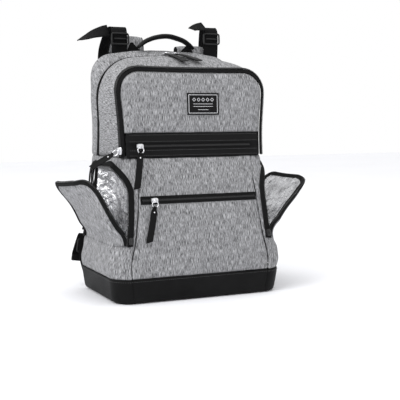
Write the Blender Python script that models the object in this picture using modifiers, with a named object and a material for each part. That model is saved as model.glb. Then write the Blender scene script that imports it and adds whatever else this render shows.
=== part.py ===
"""Diaper backpack: sewn panels, zips, bottle pockets, handle and straps, in metres with +Z up.

The origin is the centre of the base on the floor.  The front faces -Y and +X is to the viewer's
right.  Every sewn panel is an open surface with Solidify, and neighbours keep a small gap.
"""
import math

import bmesh
import bpy
from mathutils import Matrix, Vector

# ---------------------------------------------------------------- driving dimensions (metres)
GAP = 0.0003                  # between pieces that touch
FABRIC = 0.003                # padded shell fabric
THIN = 0.0012                 # linings, tapes and webbing pieces
BOOT_TOP = 0.0432             # top edge of the leatherette base
FOLD_Z = 0.2500               # fold of the lid and of the front flap
BAND_TOP = 0.2920             # top edge of the black band
FOLD_Y = -0.0815
BACK_Y = 0.076                # outer face of the back panel
BACK_RADIUS = 0.008
ZIP_Y = 0.037                 # plane of the main zip
RIB_SETBACK = 0.007           # the U zip lies this far behind the front face
RIB_EDGE = 0.022              # width of the rounded margin of the front face
RIB_TOP, RIB_RADIUS, RIB_CROWN = 0.4045, 0.042, -0.0015
ZIP_TOP, ZIP_RADIUS, ZIP_CROWN = 0.432, 0.075, 0.003
BACK_TOP, BACK_ARCH_RADIUS, BACK_CROWN = 0.4440, 0.045, 0.0070
POCKET_FLOOR = 0.100          # lower edge of a side pocket's mouth
WING_OPEN = {"left": math.radians(32), "right": math.radians(42)}
SIDES = {"left": -1.0, "right": 1.0}
LOOP_X = {"left": 0.083, "right": 0.106}
LOOP_LIFT = {"left": 0.003, "right": 0.008}
LOOP_WIDTH = 0.030
TAIL_WIDTH = 0.026
STRAP_X = {"left": 0.062, "right": 0.068}
STRAP_RISE = {"left": 0.014, "right": 0.0}

GREY = (0.27, 0.27, 0.29)
BLACK = (0.016, 0.015, 0.015)
LEATHER = (0.011, 0.010, 0.010)
STEEL = (0.72, 0.71, 0.68)
FOIL = (0.62, 0.64, 0.67)
FOAM = (0.10, 0.10, 0.11)
BOARD = (0.05, 0.05, 0.05)


# ---------------------------------------------------------------- outline functions
def smooth_through(points):
    """A smooth function of one number through the given (position, value) pairs."""
    def value(at):
        if at <= points[0][0]:
            return points[0][1]
        if at >= points[-1][0]:
            return points[-1][1]
        i = next(k for k in range(len(points) - 1) if at <= points[k + 1][0])
        (x0, y0), (x1, y1) = points[i], points[i + 1]
        before, after = points[max(i - 1, 0)], points[min(i + 2, len(points) - 1)]
        slope0 = (y1 - before[1]) / (x1 - before[0])
        slope1 = (after[1] - y0) / (after[0] - x0)
        span = x1 - x0
        t = (at - x0) / span
        return ((2 * t**3 - 3 * t**2 + 1) * y0 + (t**3 - 2 * t**2 + t) * span * slope0
                + (3 * t**2 - 2 * t**3) * y1 + (t**3 - t**2) * span * slope1)
    return value


# Front face, half width and front corner radius of the bag, by height.
front_y = smooth_through([(0, -0.110), (0.043, -0.112), (0.178, -0.098), (0.250, -0.0815),
                          (0.370, -0.0735), (0.410, -0.069)])
half_width = smooth_through([(0, 0.158), (0.043, 0.164), (0.070, 0.165), (0.110, 0.157),
                             (0.180, 0.148), (0.250, 0.142), (0.310, 0.140), (0.360, 0.1420),
                             (0.450, 0.1420)])
corner_radius = smooth_through([(0, 0.031), (0.180, 0.034), (0.250, 0.031), (0.400, 0.028)])
# Half width of the U zip's line, which frames the front flap.
rib_half = smooth_through([(0.250, 0.1375), (0.300, 0.1385), (0.370, 0.1435), (0.450, 0.1435)])


def side_skin(u, z, side, offset=0.0):
    """Point of the side skin, u along it from the front seam, moved outward by offset."""
    w, r, y = half_width(z), corner_radius(z), front_y(z)
    quarter = r * math.pi / 2
    straight = BACK_Y - BACK_RADIUS - y - r
    if u <= quarter:
        turn, cx, cy, rad = u / r, w - r, y + r, r
    elif u <= quarter + straight:
        return Vector((side * (w + offset), y + r + u - quarter, z))
    else:
        turn = math.pi / 2 + (u - quarter - straight) / BACK_RADIUS
        cx, cy, rad = w - BACK_RADIUS, BACK_Y - BACK_RADIUS, BACK_RADIUS
    reach = rad + offset
    return Vector((side * (cx + reach * math.sin(turn)), cy - reach * math.cos(turn), z))


def side_length(z):
    quarter = (corner_radius(z) + BACK_RADIUS) * math.pi / 2
    return quarter + BACK_Y - BACK_RADIUS - front_y(z) - corner_radius(z)


def arch(inset, top, radius, crown, foot=FOLD_Z, n_side=5, n_turn=5, n_top=4, half=None):
    """(x, z) points of an arch: up the left side, over the top and down the right side."""
    half = half or half_width
    edge = top - crown
    knee = edge - radius
    w = half(knee) - inset
    left = [(-half(z) + inset, z)
            for z in (foot + (knee - foot) * i / n_side for i in range(n_side))]
    left += [(-w + radius * (1 - math.cos(a)), knee + radius * math.sin(a))
             for a in (math.pi / 2 * i / n_turn for i in range(n_turn))]
    flat = w - radius
    left += [(-flat + flat * i / n_top, edge + crown * (1 - (1 - i / n_top) ** 2))
             for i in range(n_top)]
    return left + [(0.0, top)] + [(-x, z) for x, z in reversed(left)]


def rib_depth(x, z):
    """Distance from (x, z) to the U zip's line, inside it."""
    w = rib_half(z)
    qx, qz = abs(x) - (w - RIB_RADIUS), z - (RIB_TOP - RIB_RADIUS)
    outside = math.hypot(max(qx, 0.0), max(qz, 0.0))
    return RIB_RADIUS - outside - min(max(qx, qz), 0.0)


def flap_point(x, z, offset=0.0):
    """Point of the front face, which rounds back towards the U zip."""
    near = 1 - min(max(rib_depth(x, z), 0.0) / RIB_EDGE, 1.0)
    return Vector((x, front_y(z) + RIB_SETBACK * near**2 - offset, z))


def flap_half(z, inset):
    """Half width of the front face at a height, inset from the U zip's line."""
    w, r = rib_half(z) - inset, RIB_RADIUS - inset
    rise = max(z - (RIB_TOP - RIB_RADIUS), 0.0)
    return w - r + math.sqrt(max(r * r - rise * rise, 0.0))


def gusset_rib(v, offset=0.0):
    """Arch of the strip between the U zip (v = 0) and the main zip (v = 1)."""
    swell = math.sin(math.pi * v)
    points = arch(-0.001 * swell - offset,
                  RIB_TOP + (ZIP_TOP - RIB_TOP) * v + 0.004 * swell + offset,
                  RIB_RADIUS + (ZIP_RADIUS - RIB_RADIUS) * v,
                  RIB_CROWN + (ZIP_CROWN - RIB_CROWN) * v, FOLD_Z + GAP,
                  half=lambda z: rib_half(z) * (1 - v) + half_width(z) * v)
    return [Vector((x, (front_y(z) + RIB_SETBACK) * (1 - v) + ZIP_Y * v, z)) for x, z in points]


def rear_rib(v, y, inset=0.0):
    """Arch of the strip between the main zip (v = 0) and the back panel (v = 1)."""
    points = arch(inset - 0.001 * v, ZIP_TOP + (BACK_TOP - ZIP_TOP) * v - inset,
                  ZIP_RADIUS + (BACK_ARCH_RADIUS - ZIP_RADIUS) * v - inset,
                  ZIP_CROWN + (BACK_CROWN - ZIP_CROWN) * v, FOLD_Z + GAP)
    return [Vector((x, y, z)) for x, z in points]


def fillet(corners, radii, steps=5):
    """Outline with each corner of radius r turned into an arc of chords."""
    out = []
    for i, radius in enumerate(radii):
        here = Vector(corners[i])
        if radius == 0:
            out.append(here)
            continue
        to_last = (Vector(corners[i - 1]) - here).normalized()
        to_next = (Vector(corners[(i + 1) % len(corners)]) - here).normalized()
        half = to_last.angle(to_next) / 2
        centre = here + (to_last + to_next).normalized() * radius / math.sin(half)
        start = here + to_last * radius / math.tan(half) - centre
        sweep = start.angle_signed(here + to_next * radius / math.tan(half) - centre)
        for k in range(steps + 1):
            turn = -sweep * k / steps
            out.append(centre + Matrix.Rotation(turn, 2) @ start)
    return out


# Mouth of a side pocket, in (u along the skin, height): an arch with its feet at the floor.
MOUTH = fillet([(0.0115, POCKET_FLOOR), (0.0130, 0.125), (0.0146, 0.150), (0.0158, 0.170),
                (0.0200, 0.238), (0.171, 0.232), (0.190, POCKET_FLOOR)],
               [0, 0, 0, 0, 0.050, 0.028, 0])


def mouth_offset(distance):
    """The mouth's arch, moved outward (away from the mouth) by a distance."""
    moved = []
    for i, point in enumerate(MOUTH):
        ahead, behind = MOUTH[min(i + 1, len(MOUTH) - 1)], MOUTH[max(i - 1, 0)]
        along = (ahead - behind).normalized()
        moved.append(point + Vector((-along.y, along.x)) * distance)
    return moved


# ---------------------------------------------------------------- mesh helpers
def clear_scene():
    for obj in list(bpy.data.objects):
        bpy.data.objects.remove(obj, do_unlink=True)


def collection(name):
    made = bpy.data.collections.new(name)
    bpy.context.scene.collection.children.link(made)
    return made


def material(name, colour, roughness, metallic=0.0):
    made = bpy.data.materials.new(name)
    made.use_nodes = True
    shader = made.node_tree.nodes["Principled BSDF"]
    shader.inputs["Base Color"].default_value = (*colour, 1.0)
    shader.inputs["Roughness"].default_value = roughness
    shader.inputs["Metallic"].default_value = metallic
    made.diffuse_color = (*colour, 1.0)
    return made


def piece(name, bm, look, pivot=(0, 0, 0), where=None):
    """Named object from a bmesh, with its origin at the pivot."""
    mesh = bpy.data.meshes.new(name)
    if where is None:
        bmesh.ops.translate(bm, verts=bm.verts, vec=-Vector(pivot))
    bm.to_mesh(mesh)
    bm.free()
    obj = bpy.data.objects.new(name, mesh)
    obj.data.materials.append(material(name, *look))
    if where is None:
        obj.location = pivot
    else:
        obj.matrix_world = where
    PARTS.objects.link(obj)
    return obj


def solidify(obj, thickness, offset=-1.0):
    mod = obj.modifiers.new("Thickness", "SOLIDIFY")
    mod.thickness, mod.offset = thickness, offset
    mod.use_even_offset = False
    return obj


def bevel(obj, width, segments=1):
    mod = obj.modifiers.new("Rounded edges", "BEVEL")
    mod.width, mod.segments, mod.limit_method = width, segments, "ANGLE"
    return obj


def boolean(obj, tool, operation):
    mod = obj.modifiers.new(operation.title(), "BOOLEAN")
    mod.operation, mod.object, mod.solver = operation, tool, "EXACT"
    return obj


def make_tool(obj):
    """Turn an object into a cutter or a joined shape that isn't a piece of its own."""
    PARTS.objects.unlink(obj)
    TOOLS.objects.link(obj)
    obj.hide_render = True
    obj.display_type = "WIRE"
    return obj


def grid(rows, away_from, closed=False):
    """Surface through rows of points, its faces turned away from a point."""
    bm = bmesh.new()
    verts = [[bm.verts.new(p) for p in row] for row in rows]
    count = len(rows[0])
    for lower, upper in zip(verts, verts[1:]):
        for i in range(count if closed else count - 1):
            j = (i + 1) % count
            bm.faces.new((lower[i], lower[j], upper[j], upper[i]))
    bm.normal_update()
    centre = Vector(away_from)
    facing = sum(f.normal.dot(f.calc_center_median() - centre) * f.calc_area() for f in bm.faces)
    if facing < 0:
        bmesh.ops.reverse_faces(bm, faces=bm.faces)
    return bm


def panel(name, rows, look, thickness=FABRIC, away_from=(0, 0, 0.2), pivot=(0, 0, 0), offset=-1.0):
    return solidify(piece(name, grid(rows, away_from), look, pivot), thickness, offset)


def plate(name, outline, thickness, look, where, rounded=0.0):
    """Flat plate: an outline in its own XY plane, centred on its thickness."""
    bm = bmesh.new()
    bm.faces.new([bm.verts.new((x, y, -thickness / 2)) for x, y in outline])
    bmesh.ops.recalc_face_normals(bm, faces=bm.faces)
    top = bmesh.ops.extrude_face_region(bm, geom=bm.faces[:])
    moved = [v for v in top["geom"] if isinstance(v, bmesh.types.BMVert)]
    bmesh.ops.translate(bm, verts=moved, vec=(0, 0, thickness))
    bmesh.ops.recalc_face_normals(bm, faces=bm.faces)
    obj = piece(name, bm, look, where=where)
    return bevel(obj, rounded) if rounded else obj


def block(name, size, look, where, rounded=0.0):
    bm = bmesh.new()
    bmesh.ops.create_cube(bm, size=1.0, matrix=Matrix.Diagonal((*size, 1.0)))
    obj = piece(name, bm, look, where=where)
    return bevel(obj, rounded) if rounded else obj


def torus(name, major, minor, centre, look, where):
    """Ring in its own XY plane, its centre given in the frame that places it."""
    bpy.ops.mesh.primitive_torus_add(major_segments=14, minor_segments=6, major_radius=major,
                                     minor_radius=minor)
    made = bpy.context.object
    bm = bmesh.new()
    bm.from_mesh(made.data)
    bmesh.ops.translate(bm, verts=bm.verts, vec=centre)
    bpy.data.objects.remove(made, do_unlink=True)
    return piece(name, bm, look, where=where)


def frame(origin, along, up):
    """Placement whose +Y runs along one direction and +Z points as near to another as it can."""
    y = Vector(along).normalized()
    x = y.cross(Vector(up)).normalized()
    z = x.cross(y)
    turn = Matrix((x, y, z)).transposed().to_4x4()
    return Matrix.Translation(Vector(origin)) @ turn


def ribbon(name, path, across, width, look, thickness=THIN, pivot=(0, 0, 0)):
    """Strip of webbing along a path, its width running across it in one or in many directions."""
    turns = across if isinstance(across, list) else [Vector(across).normalized()] * len(path)
    widths = width if isinstance(width, list) else [width] * len(path)
    rows = [[Vector(p) + turn * w * k for k in (-0.5, 0.5)]
            for p, turn, w in zip(path, turns, widths)]
    bm = grid(rows, (0, 0, -9))
    return solidify(piece(name, bm, look, pivot), thickness, 0.0)


def curve_points(knots, steps):
    """Smooth path through knots (Catmull-Rom)."""
    knots = [Vector(k) for k in knots]
    ends = [knots[0] * 2 - knots[1]] + knots + [knots[-1] * 2 - knots[-2]]
    path = []
    for a, b, c, d in zip(ends, ends[1:], ends[2:], ends[3:]):
        for i in range(steps):
            t = i / steps
            path.append(0.5 * (2 * b + (c - a) * t + (2 * a - 5 * b + 4 * c - d) * t**2
                               + (3 * b - a - 3 * c + d) * t**3))
    return path + [knots[-1]]


def twist(first, last, count):
    """Directions that turn evenly from the first to the last."""
    return [Vector(first).lerp(Vector(last), i / (count - 1)).normalized() for i in range(count)]


def steps(first, last, count):
    return [first + (last - first) * i / count for i in range(count + 1)]


# ---------------------------------------------------------------- body of the bag
def ring_at(z, inset):
    """Whole horizontal outline of the bag at a height, pulled in by an inset."""
    cells, loop = 5, []
    for side in (1.0, -1.0):
        length = side_length(z)
        quarter = corner_radius(z) * math.pi / 2
        stops = steps(0, quarter, cells) + steps(quarter, length - BACK_RADIUS * 1.57, 3)[1:]
        stops += [length - BACK_RADIUS * 0.8, length]
        half = [side_skin(u, z, side, -inset) for u in stops]
        loop += half if side > 0 else half[::-1]
    return loop


def make_base():
    rows = [ring_at(z, inset) for z, inset in
            ((0.0, 0.006), (0.0028, 0.0015), (0.009, 0.0), (0.026, 0.0), (BOOT_TOP, 0.0))]
    bm = grid(rows, (0, 0, 0.02), closed=True)
    bm.verts.ensure_lookup_table()
    floor = bm.faces.new([bm.verts[i] for i in range(len(rows[0]))])
    floor.normal_update()
    if floor.normal.z > 0:
        floor.normal_flip()
    bmesh.ops.recalc_face_normals(bm, faces=bm.faces)
    solidify(piece("base_boot", bm, (LEATHER, 0.45)), 0.0025)
    block("base_board", (0.270, 0.150, 0.003), (BOARD, 0.6),
          Matrix.Translation((0, -0.017, 0.0046)), 0.0008)


def make_front():
    rows = [[Vector((x, front_y(z), z)) for x in steps(-1, 1, 6)]
            for z in steps(BOOT_TOP + GAP, FOLD_Z - GAP, 8)]
    for row in rows:
        reach = half_width(row[0].z) - corner_radius(row[0].z) - 0.0008
        for point in row:
            point.x *= reach
    panel("front_lower_panel", rows, (GREY, 0.9))
    tape = [[Vector((x, front_y(z) - GAP - THIN, z)) for x in steps(-0.112, 0.112, 4)]
            for z in steps(0.1705, 0.1845, 1)]
    panel("lower_zip_tape", tape, (BLACK, 0.7), THIN)
    wall = [[Vector((x, front_y(z) + 0.040, z)) for x in steps(-0.108, 0.108, 4)]
            for z in steps(0.012, FOLD_Z - 0.001, 5)]
    panel("compartment_divider_lower", wall, (FOAM, 0.8), THIN)


def make_side(label, side):
    """Side panel with the bottle pocket's mouth cut out of it, its zip tape and its foil pouch."""
    rows = []
    for z in steps(BOOT_TOP + GAP, FOLD_Z - GAP, 9):
        quarter, length = corner_radius(z) * math.pi / 2, side_length(z)
        stops = steps(GAP, quarter, 4) + steps(quarter, length - BACK_RADIUS * 1.57, 4)[1:]
        rows.append([side_skin(u, z, side) for u in stops + [length - 0.005, length - 0.0008]])
    skin = panel(f"side_panel_{label}", rows, (GREY, 0.9))

    bm = bmesh.new()
    outer = [bm.verts.new(side_skin(u, z, side, 0.045)) for u, z in MOUTH]
    inner = [bm.verts.new(side_skin(u, z, side, -0.018)) for u, z in MOUTH]
    count = len(MOUTH)
    bm.faces.new(outer)
    bm.faces.new(inner[::-1])
    for i in range(count):
        j = (i + 1) % count
        bm.faces.new((outer[j], outer[i], inner[i], inner[j]))
    bmesh.ops.recalc_face_normals(bm, faces=bm.faces)
    boolean(skin, make_tool(piece(f"pocket_mouth_{label}", bm, (FOAM, 0.8))), "DIFFERENCE")

    lines = [mouth_offset(d) for d in (0.0004, 0.0080)]
    tape = [[side_skin(u, z, side, GAP + THIN + 0.0009) for u, z in line] for line in lines]
    panel(f"pocket_tape_{label}", tape, (BLACK, 0.7), THIN, away_from=(0, 0, 0.17))

    def pouch_point(a, t):
        z = 0.052 + (0.244 - 0.052) * t
        u = 0.016 + (side_length(z) - 0.036 - 0.016) * a
        depth = 0.0054 + 0.029 * (1 - abs(2 * a - 1) ** 4) * (1 - abs(2 * t - 1) ** 6)
        return side_skin(u, z, side, -depth)
    bowl = [[pouch_point(a, t) for a in steps(0, 1, 8)] for t in steps(0, 1, 8)]
    panel(f"pocket_pouch_{label}", bowl, (FOIL, 0.3, 0.8), THIN * 0.8)


def make_back():
    z_foot = BOOT_TOP + GAP
    inset = BACK_RADIUS + 0.0018
    outline = arch(inset, BACK_TOP - inset, BACK_ARCH_RADIUS - inset, BACK_CROWN, z_foot, 8, 4, 3)
    half = len(outline) // 2
    rows = [[Vector((outline[i][0] * (1 - 2 * k), BACK_Y, outline[i][1])) for k in steps(0, 1, 4)]
            for i in range(half)]
    rows.append([Vector((x, BACK_Y, BACK_TOP - inset)) for x in steps(-0.012, 0.012, 4)])
    panel("back_panel", rows, (BLACK, 0.85))
    pad = fillet([(-0.112, 0.070), (0.112, 0.070), (0.104, 0.395), (-0.104, 0.395)],
                 [0.03, 0.03, 0.04, 0.04])
    where = Matrix(((1, 0, 0, 0), (0, 0, -1, BACK_Y + GAP + 0.0045), (0, 1, 0, 0), (0, 0, 0, 1)))
    plate("back_padding", pad, 0.009, (FOAM, 0.9), where, 0.002)
    rows = [rear_rib(v, y, inset) for v, y, inset in
            ((0.0, ZIP_Y + 0.0036, 0), (0.5, 0.055, -0.0015), (1.0, 0.068, 0), (1.0, 0.0742, 0.0024),
             (1.0, BACK_Y, BACK_RADIUS - 0.0006))]
    panel("rear_gusset", rows, (GREY, 0.9))
    rows = [rear_rib(0.0, y) for y in (ZIP_Y + GAP, ZIP_Y + 0.0033)]
    panel("main_zip_rear_tape", rows, (BLACK, 0.7), THIN)


# ---------------------------------------------------------------- lid and front flap
FOLD = (0, FOLD_Y, FOLD_Z)


def make_lid():
    setback = 0.0032 / (ZIP_Y - FOLD_Y)
    rows = [gusset_rib(v) for v in (0.066, 0.20, 0.42, 0.70, 1 - setback)]
    panel("front_gusset", rows, (GREY, 0.9), pivot=FOLD)
    rows = [gusset_rib(v, 0.0) for v in (1 - setback * 0.92, 1.0)]
    panel("main_zip_front_tape", rows, (BLACK, 0.7), THIN, pivot=FOLD)
    rows = [gusset_rib(v) for v in (0.014, 0.062)]
    panel("u_zip_outer_tape", rows, (BLACK, 0.7), THIN, pivot=FOLD)
    wall = [[Vector((x, -0.041, z)) for x in steps(-0.126, 0.126, 4)]
            for z in steps(FOLD_Z + 0.003, 0.386, 3)]
    panel("compartment_divider_upper", wall, (FOAM, 0.8), THIN, away_from=(0, 0.1, 0.3), pivot=FOLD)


def make_flap():
    rows = []
    inset = 0.0068
    top = RIB_TOP - RIB_CROWN - inset
    for z in steps(BAND_TOP + GAP, top - 0.020, 4) + steps(top - 0.020, top, 4)[1:]:
        reach = flap_half(z, inset)
        rows.append([flap_point(reach * k, z) for k in
                     (-1, -0.94, -0.85, -0.6, -0.2, 0.2, 0.6, 0.85, 0.94, 1)])
    panel("flap_panel", rows, (GREY, 0.9), pivot=FOLD)
    rows = [[flap_point(x, z) for x in (-0.128, -0.121, -0.112, -0.06, 0, 0.06, 0.112, 0.121, 0.128)]
            for z in steps(FOLD_Z + GAP, BAND_TOP - GAP, 3)]
    panel("flap_band", rows, (BLACK, 0.7), pivot=FOLD)
    teeth = [[flap_point(x, z, GAP + THIN) for x in steps(-0.112, 0.112, 4)] for z in (0.2665, 0.2735)]
    panel("band_zip_tape", teeth, (BLACK, 0.5), THIN, pivot=FOLD)

    def inner(depth):
        line = arch(depth, RIB_TOP - depth, RIB_RADIUS - depth, RIB_CROWN, FOLD_Z + 0.004,
                    half=rib_half)
        return [flap_point(x, z) for x, z in line]
    panel("u_zip_inner_tape", [inner(0.0008), inner(0.0049)], (BLACK, 0.7), THIN, pivot=FOLD)
    label = [[flap_point(x, z, GAP + 0.0010) for x in steps(-0.0140, 0.0480, 2)]
             for z in steps(0.3235, 0.3620, 2)]
    panel("label_patch", label, (BLACK, 0.6), 0.0010, pivot=FOLD)


# ---------------------------------------------------------------- side pocket wings
WING_HEIGHTS = (0.1012, 0.125, 0.150, 0.172, 0.190, 0.204, 0.213, 0.2185, 0.2215)


def wing_pivot(side):
    return Vector((side * (half_width(POCKET_FLOOR) + 0.0006), 0, POCKET_FLOOR))


def make_wing(label, side):
    """Outer wall of a bottle pocket, unzipped and tipped outward about its lower edge."""
    pivot = wing_pivot(side)
    tip = Matrix.Translation(pivot) @ Matrix.Rotation(side * WING_OPEN[label], 4, "Y")

    def edge_at(points, z):
        for a, b in zip(points, points[1:]):
            if min(a.y, b.y) <= z <= max(a.y, b.y) and a.y != b.y:
                return a.x + (b.x - a.x) * (z - a.y) / (b.y - a.y)
        return points[0].x if abs(points[0].y - z) < abs(points[-1].y - z) else points[-1].x

    def wing_rows(depth, offset):
        line = mouth_offset(-depth)
        apex = max(range(len(line)), key=lambda i: line[i].y)
        rows = []
        for z in WING_HEIGHTS:
            front, rear = edge_at(line[:apex + 1], z), edge_at(line[apex:], z)
            rows.append([side_skin(front + (rear - front) * k, z, side, offset) - pivot
                         for k in (0, 0.06, 0.14, 0.26, 0.45, 0.7, 1)])
        return rows

    shell = wing_rows(0.0080, 0.0)
    lining = wing_rows(0.0100, -FABRIC - GAP - 0.0005)
    for name, rows, look, thickness in ((f"wing_{label}", shell, (GREY, 0.9), FABRIC),
                                        (f"wing_foil_{label}", lining, (FOIL, 0.3, 0.8), THIN * 0.8)):
        bm = grid(rows, -Vector((side * 0.2, 0, 0)))
        solidify(piece(name, bm, look, where=tip), thickness)
    lines = [mouth_offset(-d) for d in (0.0010, 0.0061)]
    keep = [[side_skin(u, z, side, 0.0) - pivot for u, z in line if z > POCKET_FLOOR]
            for line in lines]
    ends = [[side_skin(line[k].x, 0.1012, side, 0.0) - pivot for k in (0, -1)] for line in lines]
    tape = [[end[0]] + row[1:-1] + [end[1]] for row, end in zip(keep, ends)]
    bm = grid(tape, -Vector((side * 0.2, 0, 0)))
    solidify(piece(f"wing_tape_{label}", bm, (BLACK, 0.7), where=tip), FABRIC)


# ---------------------------------------------------------------- zip sliders and pulls
RING_R = 0.0055
RING_WIRE = 0.0009


def make_slider(name, at, along, up):
    """Zip slider, a bevelled body with a bail on it, lying on the zip."""
    where = frame(at, along, up)
    body = block(f"{name}_slider", (0.0085, 0.0125, 0.0034), (STEEL, 0.3, 1.0), where, 0.0009)
    bail = block(f"{name}_bail", (0.0022, 0.0075, 0.0030), (STEEL, 0.3, 1.0),
                 where @ Matrix.Translation((0, 0, 0.0026)))
    boolean(body, make_tool(bail), "UNION")


def make_pull(name, root, tip, up, width=0.0115, has_ring=True, tab_hinge=0.0):
    """Ring and leather tab that hang from a slider, from the bail at root to the tip.

    The tab swings about the root, or about a hinge of its own at that distance along the pull.
    """
    root, tip = Vector(root), Vector(tip)
    length = (tip - root).length
    where = frame(root, tip - root, up)
    start = 2 * RING_R + RING_WIRE + 3 * GAP
    if has_ring:
        torus(f"{name}_ring", RING_R, RING_WIRE, (0, RING_R, 0), (STEEL, 0.3, 1.0), where)
    else:
        start = 0.004
    half = width / 2
    outline = [(-half * 0.62, start), (half * 0.62, start), (half, start + 0.006),
               (half, length - 0.001), (half - 0.001, length), (-half + 0.001, length - 0.005),
               (-half, length - 0.006), (-half, start + 0.006)]
    plate(f"{name}_tab", [(x, y - tab_hinge) for x, y in outline], 0.0022, (LEATHER, 0.5),
          where @ Matrix.Translation((0, tab_hinge, 0)))


PULLS = {
    "band_zip": dict(at=(-0.106, 0.0076, 0.2700), along=(1, 0, 0), up=(0, -1, 0.1),
                     tip=(-0.121, -0.1005, 0.1960), tab_hinge=2 * RING_R),
    "lower_zip": dict(at=(-0.087, 0.0076, 0.1775), along=(1, 0, 0), up=(0, -1, 0.1),
                      tip=(-0.103, -0.1125, 0.1040), tab_hinge=0.0),
}


def make_zips():
    for name, where in PULLS.items():
        x, proud, z = where["at"]
        y = front_y(z) - GAP - THIN
        make_slider(name, (x, y - 0.0021, z), where["along"], where["up"])
        make_pull(name, (x, y - proud, z - 0.001), where["tip"], where["up"],
                  tab_hinge=where["tab_hinge"])
    u_at = side_edge = Vector((-rib_half(0.262), front_y(0.262) + RIB_SETBACK, 0.262))
    out = Vector((-0.75, -0.66, 0))
    make_slider("u_zip", u_at + out * 0.0040, (0, 0, 1), out)
    make_pull("u_zip", side_edge + out * 0.0100, (-0.1865, -0.052, 0.2315), (-0.4, -0.6, 0.6))
    for name, x, tip in (("main_zip_left", -0.0085, (-0.0045, -0.042, 0.4180)),
                         ("main_zip_right", 0.0085, (0.0235, -0.040, 0.4185))):
        make_slider(name, (x, ZIP_Y, ZIP_TOP + 0.0022), (1, 0, 0), (0, 0, 1))
        make_pull(name, (x, ZIP_Y - 0.001, ZIP_TOP + 0.0062), tip, (0, 0, 1), has_ring=False)
    for label, side in SIDES.items():
        z = POCKET_FLOOR + 0.010
        u = mouth_offset(0.004)[0].x
        at = side_skin(u, z, side, 0.0050)
        outward = at - side_skin(u, z, side, 0.0)
        above = side_skin(u + 0.0005, z + 0.01, side, 0.0050)
        make_slider(f"pocket_zip_{label}", at, above - at, outward)


# ---------------------------------------------------------------- handle, straps and webbing
HANDLE_X = 0.003
HANDLE_Y = 0.0580
HANDLE_Z = 0.4465


def make_handle():
    path = curve_points([(HANDLE_X + x, HANDLE_Y, z) for x, z in
                         ((-0.054, HANDLE_Z + 0.0025), (-0.035, 0.4625), (0, 0.4700),
                          (0.035, 0.4625), (0.054, HANDLE_Z + 0.0025))], 3)
    grip = ribbon("handle_grip", path, (0, 1, 0), 0.018, (LEATHER, 0.5), 0.0080,
                  pivot=(HANDLE_X, HANDLE_Y, HANDLE_Z))
    bevel(grip, 0.0018)
    for label, side in SIDES.items():
        outline = [(side * x, z) for x, z in
                   ((0.042, 0.424), (0.0665, 0.424), (0.0665, 0.444), (0.0600, 0.4585), (0.0560, 0.4585),
                    (0.042, 0.444))]
        where = Matrix(((1, 0, 0, 0), (0, 0, -1, BACK_Y + 0.0015), (0, 1, 0, 0), (0, 0, 0, 1)))
        plate(f"handle_anchor_{label}", outline, 0.0022, (BLACK, 0.8), where)


def make_straps(label, side):
    """Padded shoulder strap, its webbing and adjuster, and the stroller loop beside the handle."""
    top, rise = STRAP_X[label], STRAP_RISE[label]
    knots = [(top, 0.0850, 0.410), (top, 0.0885, 0.444 + rise), (top + 0.001, 0.1010, 0.447 + rise),
             (0.073, 0.1120, 0.395), (0.079, 0.1170, 0.320), (0.089, 0.1170, 0.230),
             (0.112, 0.1120, 0.150), (0.132, 0.1080, 0.105)]
    path = curve_points([(side * x, y, z) for x, y, z in knots], 2)
    widths = [0.060 - 0.024 * max(0, (i - 9) / (len(path) - 10)) for i in range(len(path))]
    ribbon(f"shoulder_strap_{label}", path, (1, 0, 0), widths, (GREY, 0.9), 0.0085)

    web = curve_points([(side * 0.1545, 0.1225, 0.047), (side * 0.1525, 0.1245, 0.060),
                        (side * 0.1430, 0.1190, 0.0930), (side * 0.141, 0.1110, 0.090),
                        (side * 0.146, 0.1020, 0.055), (side * 0.142, 0.0830, 0.018)], 3)
    ribbon(f"lower_webbing_{label}", web, (1, 0, 0.15), 0.025, (BLACK, 0.8), 0.0016)
    where = frame((side * 0.142, 0.1162, 0.072), (side * 0.15, -0.02, -1), (0, 1, 0))
    outline = [(-0.017, -0.014), (0.017, -0.014), (0.017, 0.014), (-0.017, 0.014)]
    lock = plate(f"ladder_lock_{label}", outline, 0.0040, (BLACK, 0.4), where, 0.001)
    slots = [block(f"lock_slot_{label}_{k}", (0.026, 0.005, 0.02), (BLACK, 0.4),
                   where @ Matrix.Translation((0, y, 0))) for k, y in enumerate((-0.006, 0.006))]
    for slot in slots:
        boolean(lock, make_tool(slot), "DIFFERENCE")
    x, lift = LOOP_X[label], LOOP_LIFT[label]
    loop = curve_points([(side * x, 0.0795, 0.424), (side * x, 0.0770, 0.455),
                         (side * x, 0.0780, 0.474 + lift), (side * x, 0.0880, 0.4830 + lift),
                         (side * (x + 0.004), 0.1050, 0.476 + lift),
                         (side * (x + 0.010), 0.1225, 0.448), (side * (x + 0.012), 0.1260, 0.415)], 2)
    ribbon(f"stroller_loop_{label}", loop, (1, 0, 0), LOOP_WIDTH, (BLACK, 0.8), 0.0018)
    where = frame((side * x, 0.0732, 0.4610 + lift), (0, 0.06, 1), (0, -1, 0))
    outline = [(-0.018, -0.0115), (0.018, -0.0115), (0.018, 0.0115), (-0.018, 0.0115)]
    glide = plate(f"loop_buckle_{label}", outline, 0.0034, (BLACK, 0.4), where, 0.0009)
    for k, y in enumerate((-0.0050, 0.0050)):
        slot = block(f"buckle_slot_{label}_{k}", (0.030, 0.0045, 0.02), (BLACK, 0.4),
                     where @ Matrix.Translation((0, y, 0)))
        boolean(glide, make_tool(slot), "DIFFERENCE")


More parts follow.
